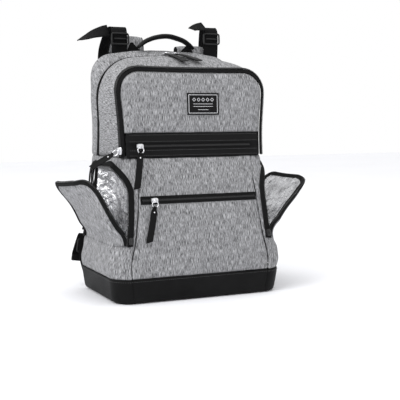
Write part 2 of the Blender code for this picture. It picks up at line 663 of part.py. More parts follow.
def make_loop_tails():
    """Free ends of the stroller loops' webbing, which twist as they fall away from the buckles."""
    left = curve_points([(-0.1018, 0.0950, 0.4788), (-0.1089, 0.0952, 0.4779),
                         (-0.1266, 0.0955, 0.4727), (-0.1423, 0.0960, 0.4657),
                         (-0.1549, 0.0960, 0.4604)], 2)
    ribbon("loop_tail_left", left, twist((0.1, 0.5, 1.0), (0.2, 1.0, 0.1), len(left)), TAIL_WIDTH,
           (BLACK, 0.8), 0.0018)
    right = curve_points([(0.0890, 0.0800, 0.4925), (0.0815, 0.0785, 0.4915),
                          (0.0730, 0.0780, 0.4896), (0.0655, 0.0780, 0.4868)], 2)
    ribbon("loop_tail_right", right, twist((0.0, 0.8, 0.7), (0.0, 0.95, 0.25), len(right)),
           TAIL_WIDTH, (BLACK, 0.8), 0.0018)


# ---------------------------------------------------------------- build
clear_scene()
PARTS = collection("Diaper backpack")
TOOLS = collection("Cutters")
make_base()
make_front()
make_back()
make_lid()
make_flap()
make_handle()
make_zips()
make_loop_tails()
for side_label, side_sign in SIDES.items():
    make_side(side_label, side_sign)
    make_wing(side_label, side_sign)
    make_straps(side_label, side_sign)
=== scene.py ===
"""Looks of the diaper backpack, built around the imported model, in metres with +Z up.

The bag's skin repeats the outline functions of the model, so every panel, zip and tape lies where
the solids are.  Each sheet of fabric carries its own cloth coordinates in the attribute "weave",
across the warp and along it, and every fabric's streaks, ribs and weave follow those.
"""
import math

import bmesh
import bpy
from mathutils import Matrix, Vector, noise


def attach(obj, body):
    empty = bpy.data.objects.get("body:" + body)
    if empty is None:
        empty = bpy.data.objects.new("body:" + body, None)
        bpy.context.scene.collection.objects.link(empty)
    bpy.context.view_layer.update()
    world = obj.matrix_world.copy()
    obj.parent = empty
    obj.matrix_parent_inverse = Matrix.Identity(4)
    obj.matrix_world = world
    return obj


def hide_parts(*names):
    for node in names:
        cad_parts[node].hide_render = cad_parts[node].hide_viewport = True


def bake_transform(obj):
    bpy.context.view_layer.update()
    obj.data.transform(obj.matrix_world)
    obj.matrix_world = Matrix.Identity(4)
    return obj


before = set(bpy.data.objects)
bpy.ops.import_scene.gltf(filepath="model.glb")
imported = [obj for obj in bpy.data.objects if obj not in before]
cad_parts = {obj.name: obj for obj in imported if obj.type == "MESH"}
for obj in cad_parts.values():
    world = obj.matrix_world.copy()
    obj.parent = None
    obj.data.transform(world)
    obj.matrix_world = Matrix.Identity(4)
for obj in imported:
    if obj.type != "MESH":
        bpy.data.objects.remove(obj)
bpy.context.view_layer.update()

# ---------------------------------------------------------------- driving dimensions (metres)
BOOT_TOP = 0.0432             # top edge of the leatherette base
FOLD_Y, FOLD_Z = -0.0815, 0.2500
BAND_TOP = 0.2920
BACK_Y, BACK_RADIUS = 0.076, 0.008
ZIP_Y = 0.037                 # plane of the main zip
RIB_SETBACK, RIB_EDGE = 0.007, 0.022
RIB_TOP, RIB_RADIUS, RIB_CROWN = 0.4045, 0.042, -0.0015
ZIP_TOP, ZIP_RADIUS, ZIP_CROWN = 0.432, 0.075, 0.003
BACK_TOP, BACK_ARCH_RADIUS, BACK_CROWN = 0.4440, 0.045, 0.0070
POCKET_FLOOR = 0.100
WING_OPEN = {"left": math.radians(32), "right": math.radians(42)}
SIDES = {"left": -1.0, "right": 1.0}
LOOP_X = {"left": 0.083, "right": 0.106}
LOOP_LIFT = {"left": 0.003, "right": 0.008}
STRAP_X = {"left": 0.062, "right": 0.068}
STRAP_RISE = {"left": 0.014, "right": 0.0}
DROOP = {"left": 0.017, "right": 0.004}     # how far an open wall's slack rear corner sinks
UNROLL = {"left": 0.45, "right": 0.0}       # share by which its corner strip flattens out
FLARE = {"left": 0.030, "right": -0.120}    # how it leans out for each metre towards its rear
FABRIC = 0.0026
SEAM = 0.0004                 # half the gap between two panels that are sewn together
SEAM_DEPTH = 0.0016           # a panel's edge turns in this far at a seam
LABEL_AT, LABEL_HALF = (0.0170, 0.34275), (0.0310, 0.01925)
LABEL_HOLD = (0.035, 0.023)   # half size of the fabric that the label keeps flat
HINGE_X = 0.1325              # a pocket wall grows out of the side panel beyond this
ZIP_LOW = (0.1705, 0.1845)    # edges of the lower zip's tape
ZIP_BAND = (0.2655, 0.2745)
ZIP_HALF = 0.112
NEAR_SEAM = [0.0, 0.0018, 0.0042]           # points of the boot close beside its corner seams
HANDLE_X, HANDLE_Y, HANDLE_Z = 0.003, 0.0580, 0.4465
RING_R, RING_WIRE = 0.0055, 0.0009
ON_EDGE = Matrix(((0, 0, 1, 0), (1, 0, 0, 0), (0, 1, 0, 0), (0, 0, 0, 1)))
CAMERA_AT = (-0.6817, -1.5521, 0.3377)
CAMERA_TURN = (math.radians(90 - 5.82), 0, math.radians(-25.15))
LENS, SENSOR = 82.3, 36.0


# ---------------------------------------------------------------- outline functions
def lerp(a, b, t):
    return a + (b - a) * t


def ease(t):
    t = min(max(t, 0.0), 1.0)
    return t * t * (3 - 2 * t)


def steps(first, last, count):
    return [lerp(first, last, i / count) for i in range(count + 1)]


def smooth_through(points):
    """A smooth function of one number through the given (position, value) pairs."""
    def value(at):
        if at <= points[0][0]:
            return points[0][1]
        if at >= points[-1][0]:
            return points[-1][1]
        i = next(k for k in range(len(points) - 1) if at <= points[k + 1][0])
        (x0, y0), (x1, y1) = points[i], points[i + 1]
        before, after = points[max(i - 1, 0)], points[min(i + 2, len(points) - 1)]
        slope0 = (y1 - before[1]) / (x1 - before[0])
        slope1 = (after[1] - y0) / (after[0] - x0)
        span = x1 - x0
        t = (at - x0) / span
        return ((2 * t**3 - 3 * t**2 + 1) * y0 + (t**3 - 2 * t**2 + t) * span * slope0
                + (3 * t**2 - 2 * t**3) * y1 + (t**3 - t**2) * span * slope1)
    return value


front_y = smooth_through([(0, -0.110), (0.043, -0.112), (0.178, -0.098), (0.250, -0.0815),
                          (0.370, -0.0735), (0.410, -0.069)])
half_width = smooth_through([(0, 0.158), (0.043, 0.164), (0.070, 0.165), (0.110, 0.157),
                             (0.180, 0.148), (0.250, 0.142), (0.310, 0.140), (0.360, 0.1420),
                             (0.450, 0.1420)])
corner_radius = smooth_through([(0, 0.031), (0.180, 0.034), (0.250, 0.031), (0.400, 0.028)])
rib_half = smooth_through([(0.250, 0.1375), (0.300, 0.1385), (0.370, 0.1435), (0.450, 0.1435)])


def side_skin(u, z, side, offset=0.0):
    """Point of the side skin, u along it from the front seam, moved outward by offset."""
    w, r, y = half_width(z), corner_radius(z), front_y(z)
    quarter = r * math.pi / 2
    straight = BACK_Y - BACK_RADIUS - y - r
    if u <= quarter:
        turn, cx, cy, rad = u / r, w - r, y + r, r
    elif u <= quarter + straight:
        return Vector((side * (w + offset), y + r + u - quarter, z))
    else:
        turn = math.pi / 2 + (u - quarter - straight) / BACK_RADIUS
        cx, cy, rad = w - BACK_RADIUS, BACK_Y - BACK_RADIUS, BACK_RADIUS
    reach = rad + offset
    return Vector((side * (cx + reach * math.sin(turn)), cy - reach * math.cos(turn), z))


def side_length(z):
    quarter = (corner_radius(z) + BACK_RADIUS) * math.pi / 2
    return quarter + BACK_Y - BACK_RADIUS - front_y(z) - corner_radius(z)


def arch(inset, top, radius, crown, foot=FOLD_Z, n_side=22, n_turn=9, n_top=18, half=None):
    """(x, z) points of an arch: up the left side, over the top and down the right side."""
    half = half or half_width
    edge = top - crown
    knee = edge - radius
    w = half(knee) - inset
    left = [(-half(z) + inset, z)
            for z in (foot + (knee - foot) * i / n_side for i in range(n_side))]
    left += [(-w + radius * (1 - math.cos(a)), knee + radius * math.sin(a))
             for a in (math.pi / 2 * i / n_turn for i in range(n_turn))]
    flat = w - radius
    left += [(-flat + flat * i / n_top, edge + crown * (1 - (1 - i / n_top) ** 2))
             for i in range(n_top)]
    return left + [(0.0, top)] + [(-x, z) for x, z in reversed(left)]


def rib_depth(x, z):
    """Distance from (x, z) to the U zip's line, inside it."""
    w = rib_half(z)
    qx, qz = abs(x) - (w - RIB_RADIUS), z - (RIB_TOP - RIB_RADIUS)
    outside = math.hypot(max(qx, 0.0), max(qz, 0.0))
    return RIB_RADIUS - outside - min(max(qx, qz), 0.0)


def flap_point(x, z, offset=0.0):
    """Point of the front face, which rounds back towards the U zip."""
    near = 1 - min(max(rib_depth(x, z), 0.0) / RIB_EDGE, 1.0)
    return Vector((x, front_y(z) + RIB_SETBACK * near**2 - offset, z))


def gusset_rib(v, offset=0.0):
    """Arch of the strip between the U zip (v = 0) and the main zip (v = 1)."""
    swell = math.sin(math.pi * v)
    points = arch(-0.001 * swell - offset,
                  RIB_TOP + (ZIP_TOP - RIB_TOP) * v + 0.004 * swell + offset,
                  RIB_RADIUS + (ZIP_RADIUS - RIB_RADIUS) * v,
                  RIB_CROWN + (ZIP_CROWN - RIB_CROWN) * v, FOLD_Z + SEAM,
                  half=lambda z: rib_half(z) * (1 - v) + half_width(z) * v)
    return [Vector((x, (front_y(z) + RIB_SETBACK) * (1 - v) + ZIP_Y * v, z)) for x, z in points]


def rear_rib(v, y, inset=0.0):
    """Arch of the strip between the main zip (v = 0) and the back panel (v = 1)."""
    points = arch(inset - 0.001 * v, ZIP_TOP + (BACK_TOP - ZIP_TOP) * v - inset,
                  ZIP_RADIUS + (BACK_ARCH_RADIUS - ZIP_RADIUS) * v - inset,
                  ZIP_CROWN + (BACK_CROWN - ZIP_CROWN) * v, FOLD_Z + SEAM)
    return [Vector((x, y, z)) for x, z in points]


def flap_line(depth, offset=0.0):
    """Arch on the front face at a depth inside the U zip's line."""
    line = arch(depth, RIB_TOP - depth, RIB_RADIUS - depth, RIB_CROWN, FOLD_Z + 0.002,
                half=rib_half)
    return [flap_point(x, z, offset) for x, z in line]


# A side pocket's mouth in (u along the skin, height): two leaning legs under an arch.
MOUTH_FRONT = (0.0115, 0.0200)       # u of the front leg at the pocket's floor and at the top
MOUTH_REAR = (0.190, 0.171)
MOUTH_TOP = (0.238, 0.232)          # height of the arch at its front and at its rear
MOUTH_RADIUS = (0.050, 0.028)


def mouth_u(a, z):
    """u of the column a (0 at the front leg, 1 at the rear leg) at a height."""
    front = lerp(*MOUTH_FRONT, (z - POCKET_FLOOR) / (MOUTH_TOP[0] - POCKET_FLOOR))
    rear = lerp(*MOUTH_REAR, (z - POCKET_FLOOR) / (MOUTH_TOP[1] - POCKET_FLOOR))
    return lerp(front, rear, a)


def mouth_top(a, inset=0.0):
    """Height of the mouth's arch over the column a."""
    span = MOUTH_REAR[1] - MOUTH_FRONT[1]
    height = lerp(*MOUTH_TOP, a) - inset
    for reach, radius in ((a * span, MOUTH_RADIUS[0] - inset), ((1 - a) * span, MOUTH_RADIUS[1] - inset)):
        if reach < radius:
            height -= radius - math.sqrt(max(radius**2 - (radius - reach)**2, 0.0))
    return height


def mouth_line(offset, n_leg=16, n_top=40):
    """The mouth's outline in (u, z), moved outward by an offset: front leg, arch, rear leg."""
    columns = [(1 - math.cos(math.pi * i / n_top)) / 2 for i in range(n_top + 1)]
    left = [Vector((mouth_u(0, z), z)) for z in steps(POCKET_FLOOR, mouth_top(0), n_leg)[:-1]]
    over = [Vector((mouth_u(a, mouth_top(a)), mouth_top(a))) for a in columns]
    right = [Vector((mouth_u(1, z), z)) for z in steps(mouth_top(1), POCKET_FLOOR, n_leg)[1:]]
    line, moved = left + over + right, []
    for i, point in enumerate(line):
        along = (line[min(i + 1, len(line) - 1)] - line[max(i - 1, 0)]).normalized()
        moved.append(point + Vector((-along.y, along.x)) * offset)
    return moved


def curve_points(knots, count):
    """Smooth path through knots (Catmull-Rom)."""
    knots = [Vector(k) for k in knots]
    ends = [knots[0] * 2 - knots[1]] + knots + [knots[-1] * 2 - knots[-2]]
    path = []
    for a, b, c, d in zip(ends, ends[1:], ends[2:], ends[3:]):
        for i in range(count):
            t = i / count
            path.append(0.5 * (2 * b + (c - a) * t + (2 * a - 5 * b + 4 * c - d) * t**2
                               + (3 * b - a - 3 * c + d) * t**3))
    return path + [knots[-1]]


def placement(origin, along, up):
    """Matrix whose +Y runs along one direction and +Z points as near to another as it can."""
    y = Vector(along).normalized()
    x = y.cross(Vector(up)).normalized()
    turn = Matrix((x, y, x.cross(y))).transposed().to_4x4()
    return Matrix.Translation(Vector(origin)) @ turn


# ---------------------------------------------------------------- materials
class Look:
    """A Principled material whose constants sit on the shader and whose patterns are nodes."""

    def __init__(self, name, colour, roughness, metallic=0.0, **sockets):
        self.material = bpy.data.materials.new(name)
        self.material.use_nodes = True
        self.tree = self.material.node_tree
        self.shader = self.tree.nodes["Principled BSDF"]
        self.set("Base Color", (*colour, 1.0))
        self.set("Roughness", roughness)
        self.set("Metallic", metallic)
        for socket, value in sockets.items():
            self.set(socket.replace("_", " "), value)

    def set(self, socket, value):
        self.shader.inputs[socket].default_value = value

    def node(self, kind, links=(), **values):
        made = self.tree.nodes.new("ShaderNode" + kind)
        for key, value in values.items():
            if hasattr(made, key):
                setattr(made, key, value)
            else:
                made.inputs[key.replace("_", " ")].default_value = value
        for socket, source in dict(links).items():
            self.tree.links.new(source, made.inputs[socket])
        return made

    def coords(self, scale, of="weave"):
        """Cloth coordinates (or the object's own) times a scale for each axis."""
        if of == "weave":
            source = self.node("Attribute", attribute_name="weave").outputs["Vector"]
        else:
            source = self.node("TexCoord").outputs["Object"]
        return self.node("Mapping", {"Vector": source}, Scale=scale).outputs["Vector"]

    def noise(self, scale, detail=2.0, of="weave", rough=0.55):
        return self.node("TexNoise", {"Vector": self.coords(scale, of)}, Scale=1.0,
                         Detail=detail, Roughness=rough).outputs["Fac"]

    def grain(self, density, detail=2.0):
        """Noise in the object's own coordinates, alike along every axis."""
        return self.noise((density, density, density), detail, "object")

    def ribs(self, scale, direction="Y"):
        return self.node("TexWave", {"Vector": self.coords(scale)}, Scale=1.0,
                         Distortion=0.6, Detail=1.0, bands_direction=direction).outputs["Fac"]

    def mix(self, a, b, share=0.5):
        first = self.node("Math", {0: a}, operation="MULTIPLY")
        first.inputs[1].default_value = 1 - share
        second = self.node("Math", {0: b}, operation="MULTIPLY")
        second.inputs[1].default_value = share
        return self.node("Math", {0: first.outputs[0], 1: second.outputs[0]}).outputs[0]

    def ramp(self, fac, stops):
        made = self.node("ValToRGB", {"Fac": fac})
        points = made.color_ramp.elements
        while len(points) < len(stops):
            points.new(0.5)
        for point, (at, colour) in zip(points, stops):
            point.position = at
            point.color = (*colour, 1.0)
        return made.outputs["Color"]

    def paint(self, fac, stops):
        self.tree.links.new(self.ramp(fac, stops), self.shader.inputs["Base Color"])

    def polish(self, fac, low, high):
        made = self.node("MapRange", {"Value": fac})
        made.inputs["To Min"].default_value = low
        made.inputs["To Max"].default_value = high
        self.tree.links.new(made.outputs[0], self.shader.inputs["Roughness"])

    def bump(self, height, depth, strength=1.0):
        made = self.node("Bump", {"Height": height}, Strength=strength, Distance=depth)
        self.tree.links.new(made.outputs["Normal"], self.shader.inputs["Normal"])


def grey(*levels):
    return [(at, (tone * 0.985, tone * 0.99, tone * 1.02)) for at, tone in levels]


def heather():
    look = Look("heather_canvas", (0.25, 0.25, 0.26), 0.95, Sheen_Weight=0.05, Sheen_Roughness=0.5,
                Specular_IOR_Level=0.15)
    long = look.noise((1100, 95, 1), 2.0)
    short = look.noise((1700, 240, 1), 2.0, rough=0.7)
    patches = look.noise((110, 24, 1), 2.0)
    fleck = look.mix(look.mix(long, short, 0.38), patches, 0.09)
    look.paint(fleck, grey((0.37, 0.035), (0.44, 0.115), (0.50, 0.235), (0.56, 0.37), (0.63, 0.50)))
    weave = look.mix(look.noise((1700, 900, 1), 1.0), short, 0.5)
    look.bump(weave, 0.0008, 0.7)
    return look.material


def black_cloth(name, tone, ribs, depth, roughness):
    look = Look(name, (tone, tone, tone), roughness, Specular_IOR_Level=0.07)
    pattern = look.mix(look.ribs(ribs), look.noise((900, 900, 1)), 0.4)
    look.paint(pattern, grey((0.2, tone * 0.5), (0.55, tone), (0.9, tone * 2.2)))
    look.bump(pattern, depth, 0.9)
    return look.material


def leatherette():
    look = Look("leatherette", (0.008, 0.0078, 0.008), 0.50, Specular_IOR_Level=0.07)
    cells = look.node("TexVoronoi", {"Vector": look.coords((800, 800, 800), "object")}, Scale=1.0,
                      feature="DISTANCE_TO_EDGE").outputs["Distance"]
    broad = look.grain(22, 3.0)
    look.paint(broad, grey((0.3, 0.0052), (0.7, 0.0088)))
    look.polish(look.mix(broad, look.grain(500), 0.5), 0.36, 0.62)
    look.bump(look.mix(cells, look.grain(260, 3.0), 0.35), 0.00035, 0.7)
    return look.material


def foil():
    look = Look("foil_lining", (0.70, 0.72, 0.75), 0.22, 0.95)
    facets = look.node("TexVoronoi", {"Vector": look.coords((75, 75, 75), "object")}, Scale=1.0)
    folds = look.grain(130, 4.0)
    look.paint(look.grain(40, 3.0), grey((0.3, 0.36), (0.7, 0.78)))
    look.polish(folds, 0.10, 0.38)
    look.bump(look.mix(facets.outputs["Distance"], folds, 0.6), 0.006, 0.9)
    return look.material


def steel():
    look = Look("bright_steel", (0.78, 0.77, 0.74), 0.22, 1.0)
    wear = look.grain(420, 3.0)
    look.paint(wear, grey((0.3, 0.62), (0.6, 0.82)))
    look.polish(wear, 0.15, 0.36)
    look.bump(wear, 0.00012, 0.4)
    return look.material


def plastic():
    look = Look("moulded_plastic", (0.010, 0.010, 0.011), 0.40, Specular_IOR_Level=0.28)
    grain = look.grain(1300)
    look.polish(grain, 0.30, 0.50)
    look.paint(look.grain(60), grey((0.3, 0.008), (0.7, 0.014)))
    look.bump(grain, 0.00012, 0.5)
    return look.material


def mesh_cloth():
    look = Look("air_mesh", (0.02, 0.02, 0.021), 0.85, Sheen_Weight=0.1)
    holes = look.node("TexVoronoi", {"Vector": look.coords((330, 330, 1))}, Scale=1.0).outputs["Distance"]
    look.paint(holes, grey((0.12, 0.004), (0.34, 0.022), (0.7, 0.045)))
    look.bump(holes, 0.0011, 1.0)
    return look.material


def lining():
    look = Look("lining_cloth", (0.10, 0.105, 0.115), 0.7, Sheen_Weight=0.1)
    ripstop = look.mix(look.ribs((500, 500, 1)), look.ribs((500, 500, 1), direction="X"), 0.5)
    look.paint(ripstop, grey((0.2, 0.075), (0.8, 0.135)))
    look.bump(look.mix(ripstop, look.noise((90, 90, 1), 3.0), 0.5), 0.0006, 0.7)
    return look.material


def speckled(name, colour, roughness, density, detail, tones, **sockets):
    """A plain material whose tone wanders between two greys."""
    look = Look(name, colour, roughness, **sockets)
    look.paint(look.grain(density, detail), grey((0.3, tones[0]), (0.7, tones[1])))
    return look.material


HEATHER = heather()
TAPE = black_cloth("zip_tape_cloth", 0.0095, (900, 1500, 1), 0.0004, 0.8)
BAND = black_cloth("band_cloth", 0.0105, (500, 1500, 1), 0.0003, 0.7)
WEBBING = black_cloth("webbing_weave", 0.0105, (1, 560, 1), 0.0008, 0.75)
COIL = speckled("zip_coil", (0.016, 0.016, 0.017), 0.36, 700, 2.0, (0.011, 0.024),
                Specular_IOR_Level=0.35)
THREAD = speckled("thread", (0.10, 0.10, 0.105), 0.7, 2500, 1.0, (0.06, 0.15))
PRINT = speckled("pale_print", (0.62, 0.62, 0.60), 0.6, 1800, 2.0, (0.45, 0.70))
LEATHER, FOIL, STEEL, PLASTIC = leatherette(), foil(), steel(), plastic()
MESH, LINING = mesh_cloth(), lining()


# ---------------------------------------------------------------- pieces
def cloth(rows, closed=False, away_from=None, coords=None):
    """Grid of points as a bmesh that carries its cloth coordinates, faces turned outward."""
    bm = bmesh.new()
    weave = bm.verts.layers.float_vector.new("weave")
    verts, along = [], 0.0
    middle = len(rows[0]) // 2
    for j, row in enumerate(rows):
        if j:
            along += (Vector(row[middle]) - Vector(rows[j - 1][middle])).length
        marks = [0.0]
        for a, b in zip(row, row[1:]):
            marks.append(marks[-1] + (Vector(b) - Vector(a)).length)
        line = []
        for i, point in enumerate(row):
            vert = bm.verts.new(point)
            vert[weave] = (*coords[j][i], 0) if coords else (marks[i] - marks[-1] / 2, along, 0)
            line.append(vert)
        verts.append(line)
    count = len(rows[0])
    for lower, upper in zip(verts, verts[1:]):
        for i in range(count if closed else count - 1):
            k = (i + 1) % count
            bm.faces.new((lower[i], lower[k], upper[k], upper[i]))
    if closed:
        bmesh.ops.recalc_face_normals(bm, faces=bm.faces)
    if away_from is not None:
        bm.normal_update()
        centre = Vector(away_from)
        if sum(f.normal.dot(f.calc_center_median() - centre) * f.calc_area() for f in bm.faces) < 0:
            bmesh.ops.reverse_faces(bm, faces=bm.faces)
    return bm


def loose(name, bm, *looks):
    """Object from a bmesh, not yet part of the bag."""
    mesh = bpy.data.meshes.new(name)
    bm.to_mesh(mesh)
    bm.free()
    obj = bpy.data.objects.new(name, mesh)
    bpy.context.scene.collection.objects.link(obj)
    for look in looks:
        mesh.materials.append(look)
    return obj


def modify(obj, kind, **settings):
    mod = obj.modifiers.new(kind.title(), kind)
    for key, value in settings.items():
        setattr(mod, key, value)
    return mod


def bake(obj):
    """Apply every modifier."""
    bpy.context.view_layer.update()
    graph = bpy.context.evaluated_depsgraph_get()
    mesh = bpy.data.meshes.new_from_object(obj.evaluated_get(graph), depsgraph=graph)
    obj.modifiers.clear()
    obj.data = mesh


def dress(obj, body, stands_for=(), thick=0.0, smooth=1, offset=-1.0, sharp=None):
    """Finish a piece: subdivision, thickness, shading, its body and its CAD nodes."""
    if smooth:
        modify(obj, "SUBSURF", levels=smooth, render_levels=smooth)
    if thick:
        inner = len(obj.data.materials) - 1
        modify(obj, "SOLIDIFY", thickness=thick, offset=offset, material_offset=inner,
               material_offset_rim=0)
    bake(obj)
    obj.data.shade_smooth()
    if sharp:
        obj.data.set_sharp_from_angle(angle=math.radians(sharp))
    if stands_for:
        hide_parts(*([stands_for] if isinstance(stands_for, str) else stands_for))
    if isinstance(body, str):
        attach(obj, body)
    else:
        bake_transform(obj)
    return obj


def join(*objects):
    """Join objects into the first one."""
    with bpy.context.temp_override(active_object=objects[0], selected_editable_objects=objects,
                                   selected_objects=objects):
        bpy.ops.object.join()
    return objects[0]


def settle(sheets, frames=20):
    """Cloth simulation of pinned sheets: slack fabric under a light pressure from inside."""
    scene = bpy.context.scene
    for obj, pins, pressure, slack, _ in sheets:
        group = obj.vertex_groups.new(name="pins")
        group.add([v.index for v in obj.data.vertices if pins(v)], 1.0, "REPLACE")
        cloth_settings = obj.modifiers.new("Cloth", "CLOTH").settings
        cloth_settings.quality = 6
        cloth_settings.mass = 0.25
        cloth_settings.tension_stiffness = cloth_settings.compression_stiffness = 12
        cloth_settings.shear_stiffness = 4
        cloth_settings.bending_stiffness = 0.8
        cloth_settings.vertex_group_mass = "pins"
        cloth_settings.shrink_min = -slack
        cloth_settings.use_pressure = True
        cloth_settings.uniform_pressure_force = pressure
        cloth_settings.effector_weights.gravity = 0.0
    for number in range(1, frames + 1):
        scene.frame_set(number)
    graph = bpy.context.evaluated_depsgraph_get()
    for obj, _, _, _, reach in sheets:
        soft = [v.co.copy() for v in obj.evaluated_get(graph).data.vertices]
        obj.modifiers.clear()
        obj.vertex_groups.clear()
        farthest = 0.0
        for vert, there in zip(obj.data.vertices, soft):
            move = there - vert.co
            if move.length > 1e-7:
                farthest = max(farthest, move.length)
                vert.co += move.normalized() * reach * math.tanh(move.length / reach)
        print("settled", obj.name, round(farthest * 1000, 1), "mm")
    scene.frame_set(1)


def crumple(obj, depth):
    """Move each point along its normal by a depth that depends on where it is."""
    normals = [v.normal.copy() for v in obj.data.vertices]
    for vert, normal in zip(obj.data.vertices, normals):
        vert.co += normal * depth(vert.co)


def soft_noise(p, pitch, seed=0.0):
    return noise.noise(Vector(p) / pitch + Vector((seed, seed * 1.7, -seed)))


def edge_of(obj):
    """Indices of the points on a mesh's open edges."""
    bm = bmesh.new()
    bm.from_mesh(obj.data)
    found = {v.index for v in bm.verts if v.is_boundary}
    bm.free()
    return found


def ribbon_rows(path, across, width, crown=0.0, cells=6):
    """Cross-sections of a strap along a path, its width running across it."""
    rows = []
    for i, point in enumerate(path):
        side = Vector(across[i] if isinstance(across, list) else across).normalized()
        along = (path[min(i + 1, len(path) - 1)] - path[max(i - 1, 0)]).normalized()
        side = (side - along * side.dot(along)).normalized()
        up = side.cross(along)
        rows.append([point + side * width * k + up * crown * (1 - 4 * k * k)
                     for k in steps(-0.5, 0.5, cells)])
    return rows


def stitch_line(bm, path, normal, pitch=0.0036, length=0.0023, radius=0.00032):
    """A row of thread stitches along a path, each a small flat bead."""
    gone, due = 0.0, pitch / 2
    for a, b in zip(path, path[1:]):
        span = (b - a).length
        while span > 0 and gone + span >= due:
            at = a.lerp(b, (due - gone) / span)
            up = normal(at) if callable(normal) else Vector(normal)
            where = placement(at + up * radius * 0.4, b - a, up)
            bmesh.ops.create_uvsphere(bm, u_segments=5, v_segments=4, radius=1.0, matrix=where
                                      @ Matrix.Diagonal((radius, length / 2, radius, 1.0)))
            due += pitch
        gone += span


def teeth(bm, path, normal, across, pitch=0.0021, size=(0.0022, 0.0012, 0.0010)):
    """Zip teeth along a path: small blocks that reach from the tape towards its partner."""
    gone, due = 0.0, pitch / 2
    for i, (a, b) in enumerate(zip(path, path[1:])):
        span = (b - a).length
        while span > 0 and gone + span >= due:
            at = a.lerp(b, (due - gone) / span)
            where = placement(at, b - a, normal(i))
            shift = where.to_3x3().inverted() @ across(i)
            sign = 1.0 if shift.x > 0 else -1.0
            block = Matrix.Translation((sign * size[0] * 0.35, 0, size[2] * 0.3))
            made = bmesh.ops.create_cube(bm, size=1.0, matrix=where @ block
                                         @ Matrix.Diagonal((*size, 1.0)))
            for face in {f for v in made["verts"] for f in v.link_faces}:
                face.material_index = 1
            due += pitch
        gone += span


def zip_strip(name, rows, body, stands_for, away_from, lift=0.0006):
    """Half of a zip: a tape through rows of points, with teeth along the first row."""
    obj = loose(name, cloth(rows, away_from=away_from), TAPE, COIL)
    obj.data.update()
    bm = bmesh.new()
    path, other = rows[:2]

    def normal(i):
        across_row = (other[i] - path[i]).normalized()
        along = (path[i + 1] - path[i]).normalized()
        up = across_row.cross(along).normalized()
        return up if up.dot(path[i] - Vector(away_from)) > 0 else -up
    lifted = [p + normal(min(i, len(path) - 2)) * lift for i, p in enumerate(path)]
    teeth(bm, lifted, normal, lambda i: (path[i] - other[i]).normalized())
    teeth_obj = loose(name + "_teeth", bm, TAPE, COIL)
    modify(obj, "SOLIDIFY", thickness=0.0011, offset=-1.0)
    bake(obj)
    dress(join(obj, teeth_obj), body, stands_for, smooth=0, sharp=40)


# ---------------------------------------------------------------- panels of the bag
def front_rows():
    rows = []
    for z in steps(BOOT_TOP + SEAM, FOLD_Z - SEAM, 44):
        reach = half_width(z) - corner_radius(z) - SEAM
        rows.append([Vector((reach * k, front_y(z), z)) for k in steps(-1, 1, 50)])
    return rows


def side_levels():
    """Side panel as a grid in (u, z), with the pocket's mouth left out of its middle."""
    n_leg, turned_front, turned_rear = 16, 8, 6
    line = mouth_line(0.0, n_leg)
    front_mid = n_leg + turned_front
    rear_mid = len(line) - 1 - n_leg - turned_rear
    front, top, rear = line[:front_mid + 1], line[front_mid:rear_mid + 1], line[rear_mid:][::-1]

    def along(points, share):
        spot = share * (len(points) - 1)
        i = min(int(spot), len(points) - 2)
        return points[i].lerp(points[i + 1], spot - i)
    z0, z1, z2, z3 = BOOT_TOP + SEAM, POCKET_FLOOR, 0.222, FOLD_Z - SEAM

    def spot(s, t):
        def outer(k, z):
            return Vector((side_length(z) - SEAM if k else SEAM, z))

        def across(z, marks):
            stops = [SEAM, *marks, side_length(z) - SEAM]
            i = min(int(s), 2)
            return lerp(stops[i], stops[i + 1], s - i)
        if t <= 1:
            z = lerp(z0, z1, t)
            return Vector((across(z, (MOUTH_FRONT[0], MOUTH_REAR[0])), z))
        if t <= 2:
            z = lerp(z1, z2, t - 1)
            if s <= 1:
                return outer(0, z).lerp(along(front, t - 1), s)
            return along(rear, t - 1).lerp(outer(1, z), s - 2)
        if s <= 1:
            low = outer(0, z2).lerp(front[-1], s)
        elif s <= 2:
            low = along(top, s - 1)
        else:
            low = rear[-1].lerp(outer(1, z2), s - 2)
        high = Vector((across(z3, (0.036, 0.160)), z3))
        return low.lerp(high, t - 2)
    return spot


def side_sheet(label, side):
    spot = side_levels()
    columns, levels = ([i / low for i in range(low)] + [1 + i / mid for i in range(mid)]
                       + [2 + i / 5 for i in range(6)] for low, mid in ((6, 30), (13, 26)))
    bm = bmesh.new()
    weave = bm.verts.layers.float_vector.new("weave")
    made = {}
    for t in levels:
        for s in columns:
            if 1 < s < 2 and 1 < t < 2:
                continue
            u, z = spot(s, t)
            vert = bm.verts.new(side_skin(u, z, side))
            vert[weave] = (u, z, 0)
            made[s, t] = vert
    for t, above in zip(levels, levels[1:]):
        for s, after in zip(columns, columns[1:]):
            if 1 <= s < 2 and 1 <= t < 2:
                continue
            bm.faces.new((made[s, t], made[after, t], made[after, above], made[s, above]))
    bm.normal_update()
    if sum(f.normal.x * side for f in bm.faces) < 0:
        bmesh.ops.reverse_faces(bm, faces=bm.faces)
    return loose(f"side_fabric_{label}", bm, HEATHER, LINING)


def flap_patch(inset=0.0060, across=48, up=22):
    """The flap's fabric from the band up to the U zip, with rounded upper corners."""
    top = RIB_TOP - RIB_CROWN - inset
    radius = RIB_RADIUS - inset
    columns = [math.sin(math.pi / 2 * k) * 0.45 + k * 0.55 for k in steps(-1, 1, across)]
    rows = []
    for t in steps(0, 1, up):
        row = []
        for a in columns:
            w = rib_half(top - radius) - inset
            gap = (1 - abs(a)) * w
            drop = radius - math.sqrt(max(radius**2 - max(radius - gap, 0.0)**2, 0.0))
            z = lerp(BAND_TOP + SEAM, top - drop, t)
            row.append(flap_point(a * (rib_half(z) - inset), z))
        rows.append(row)
    return rows


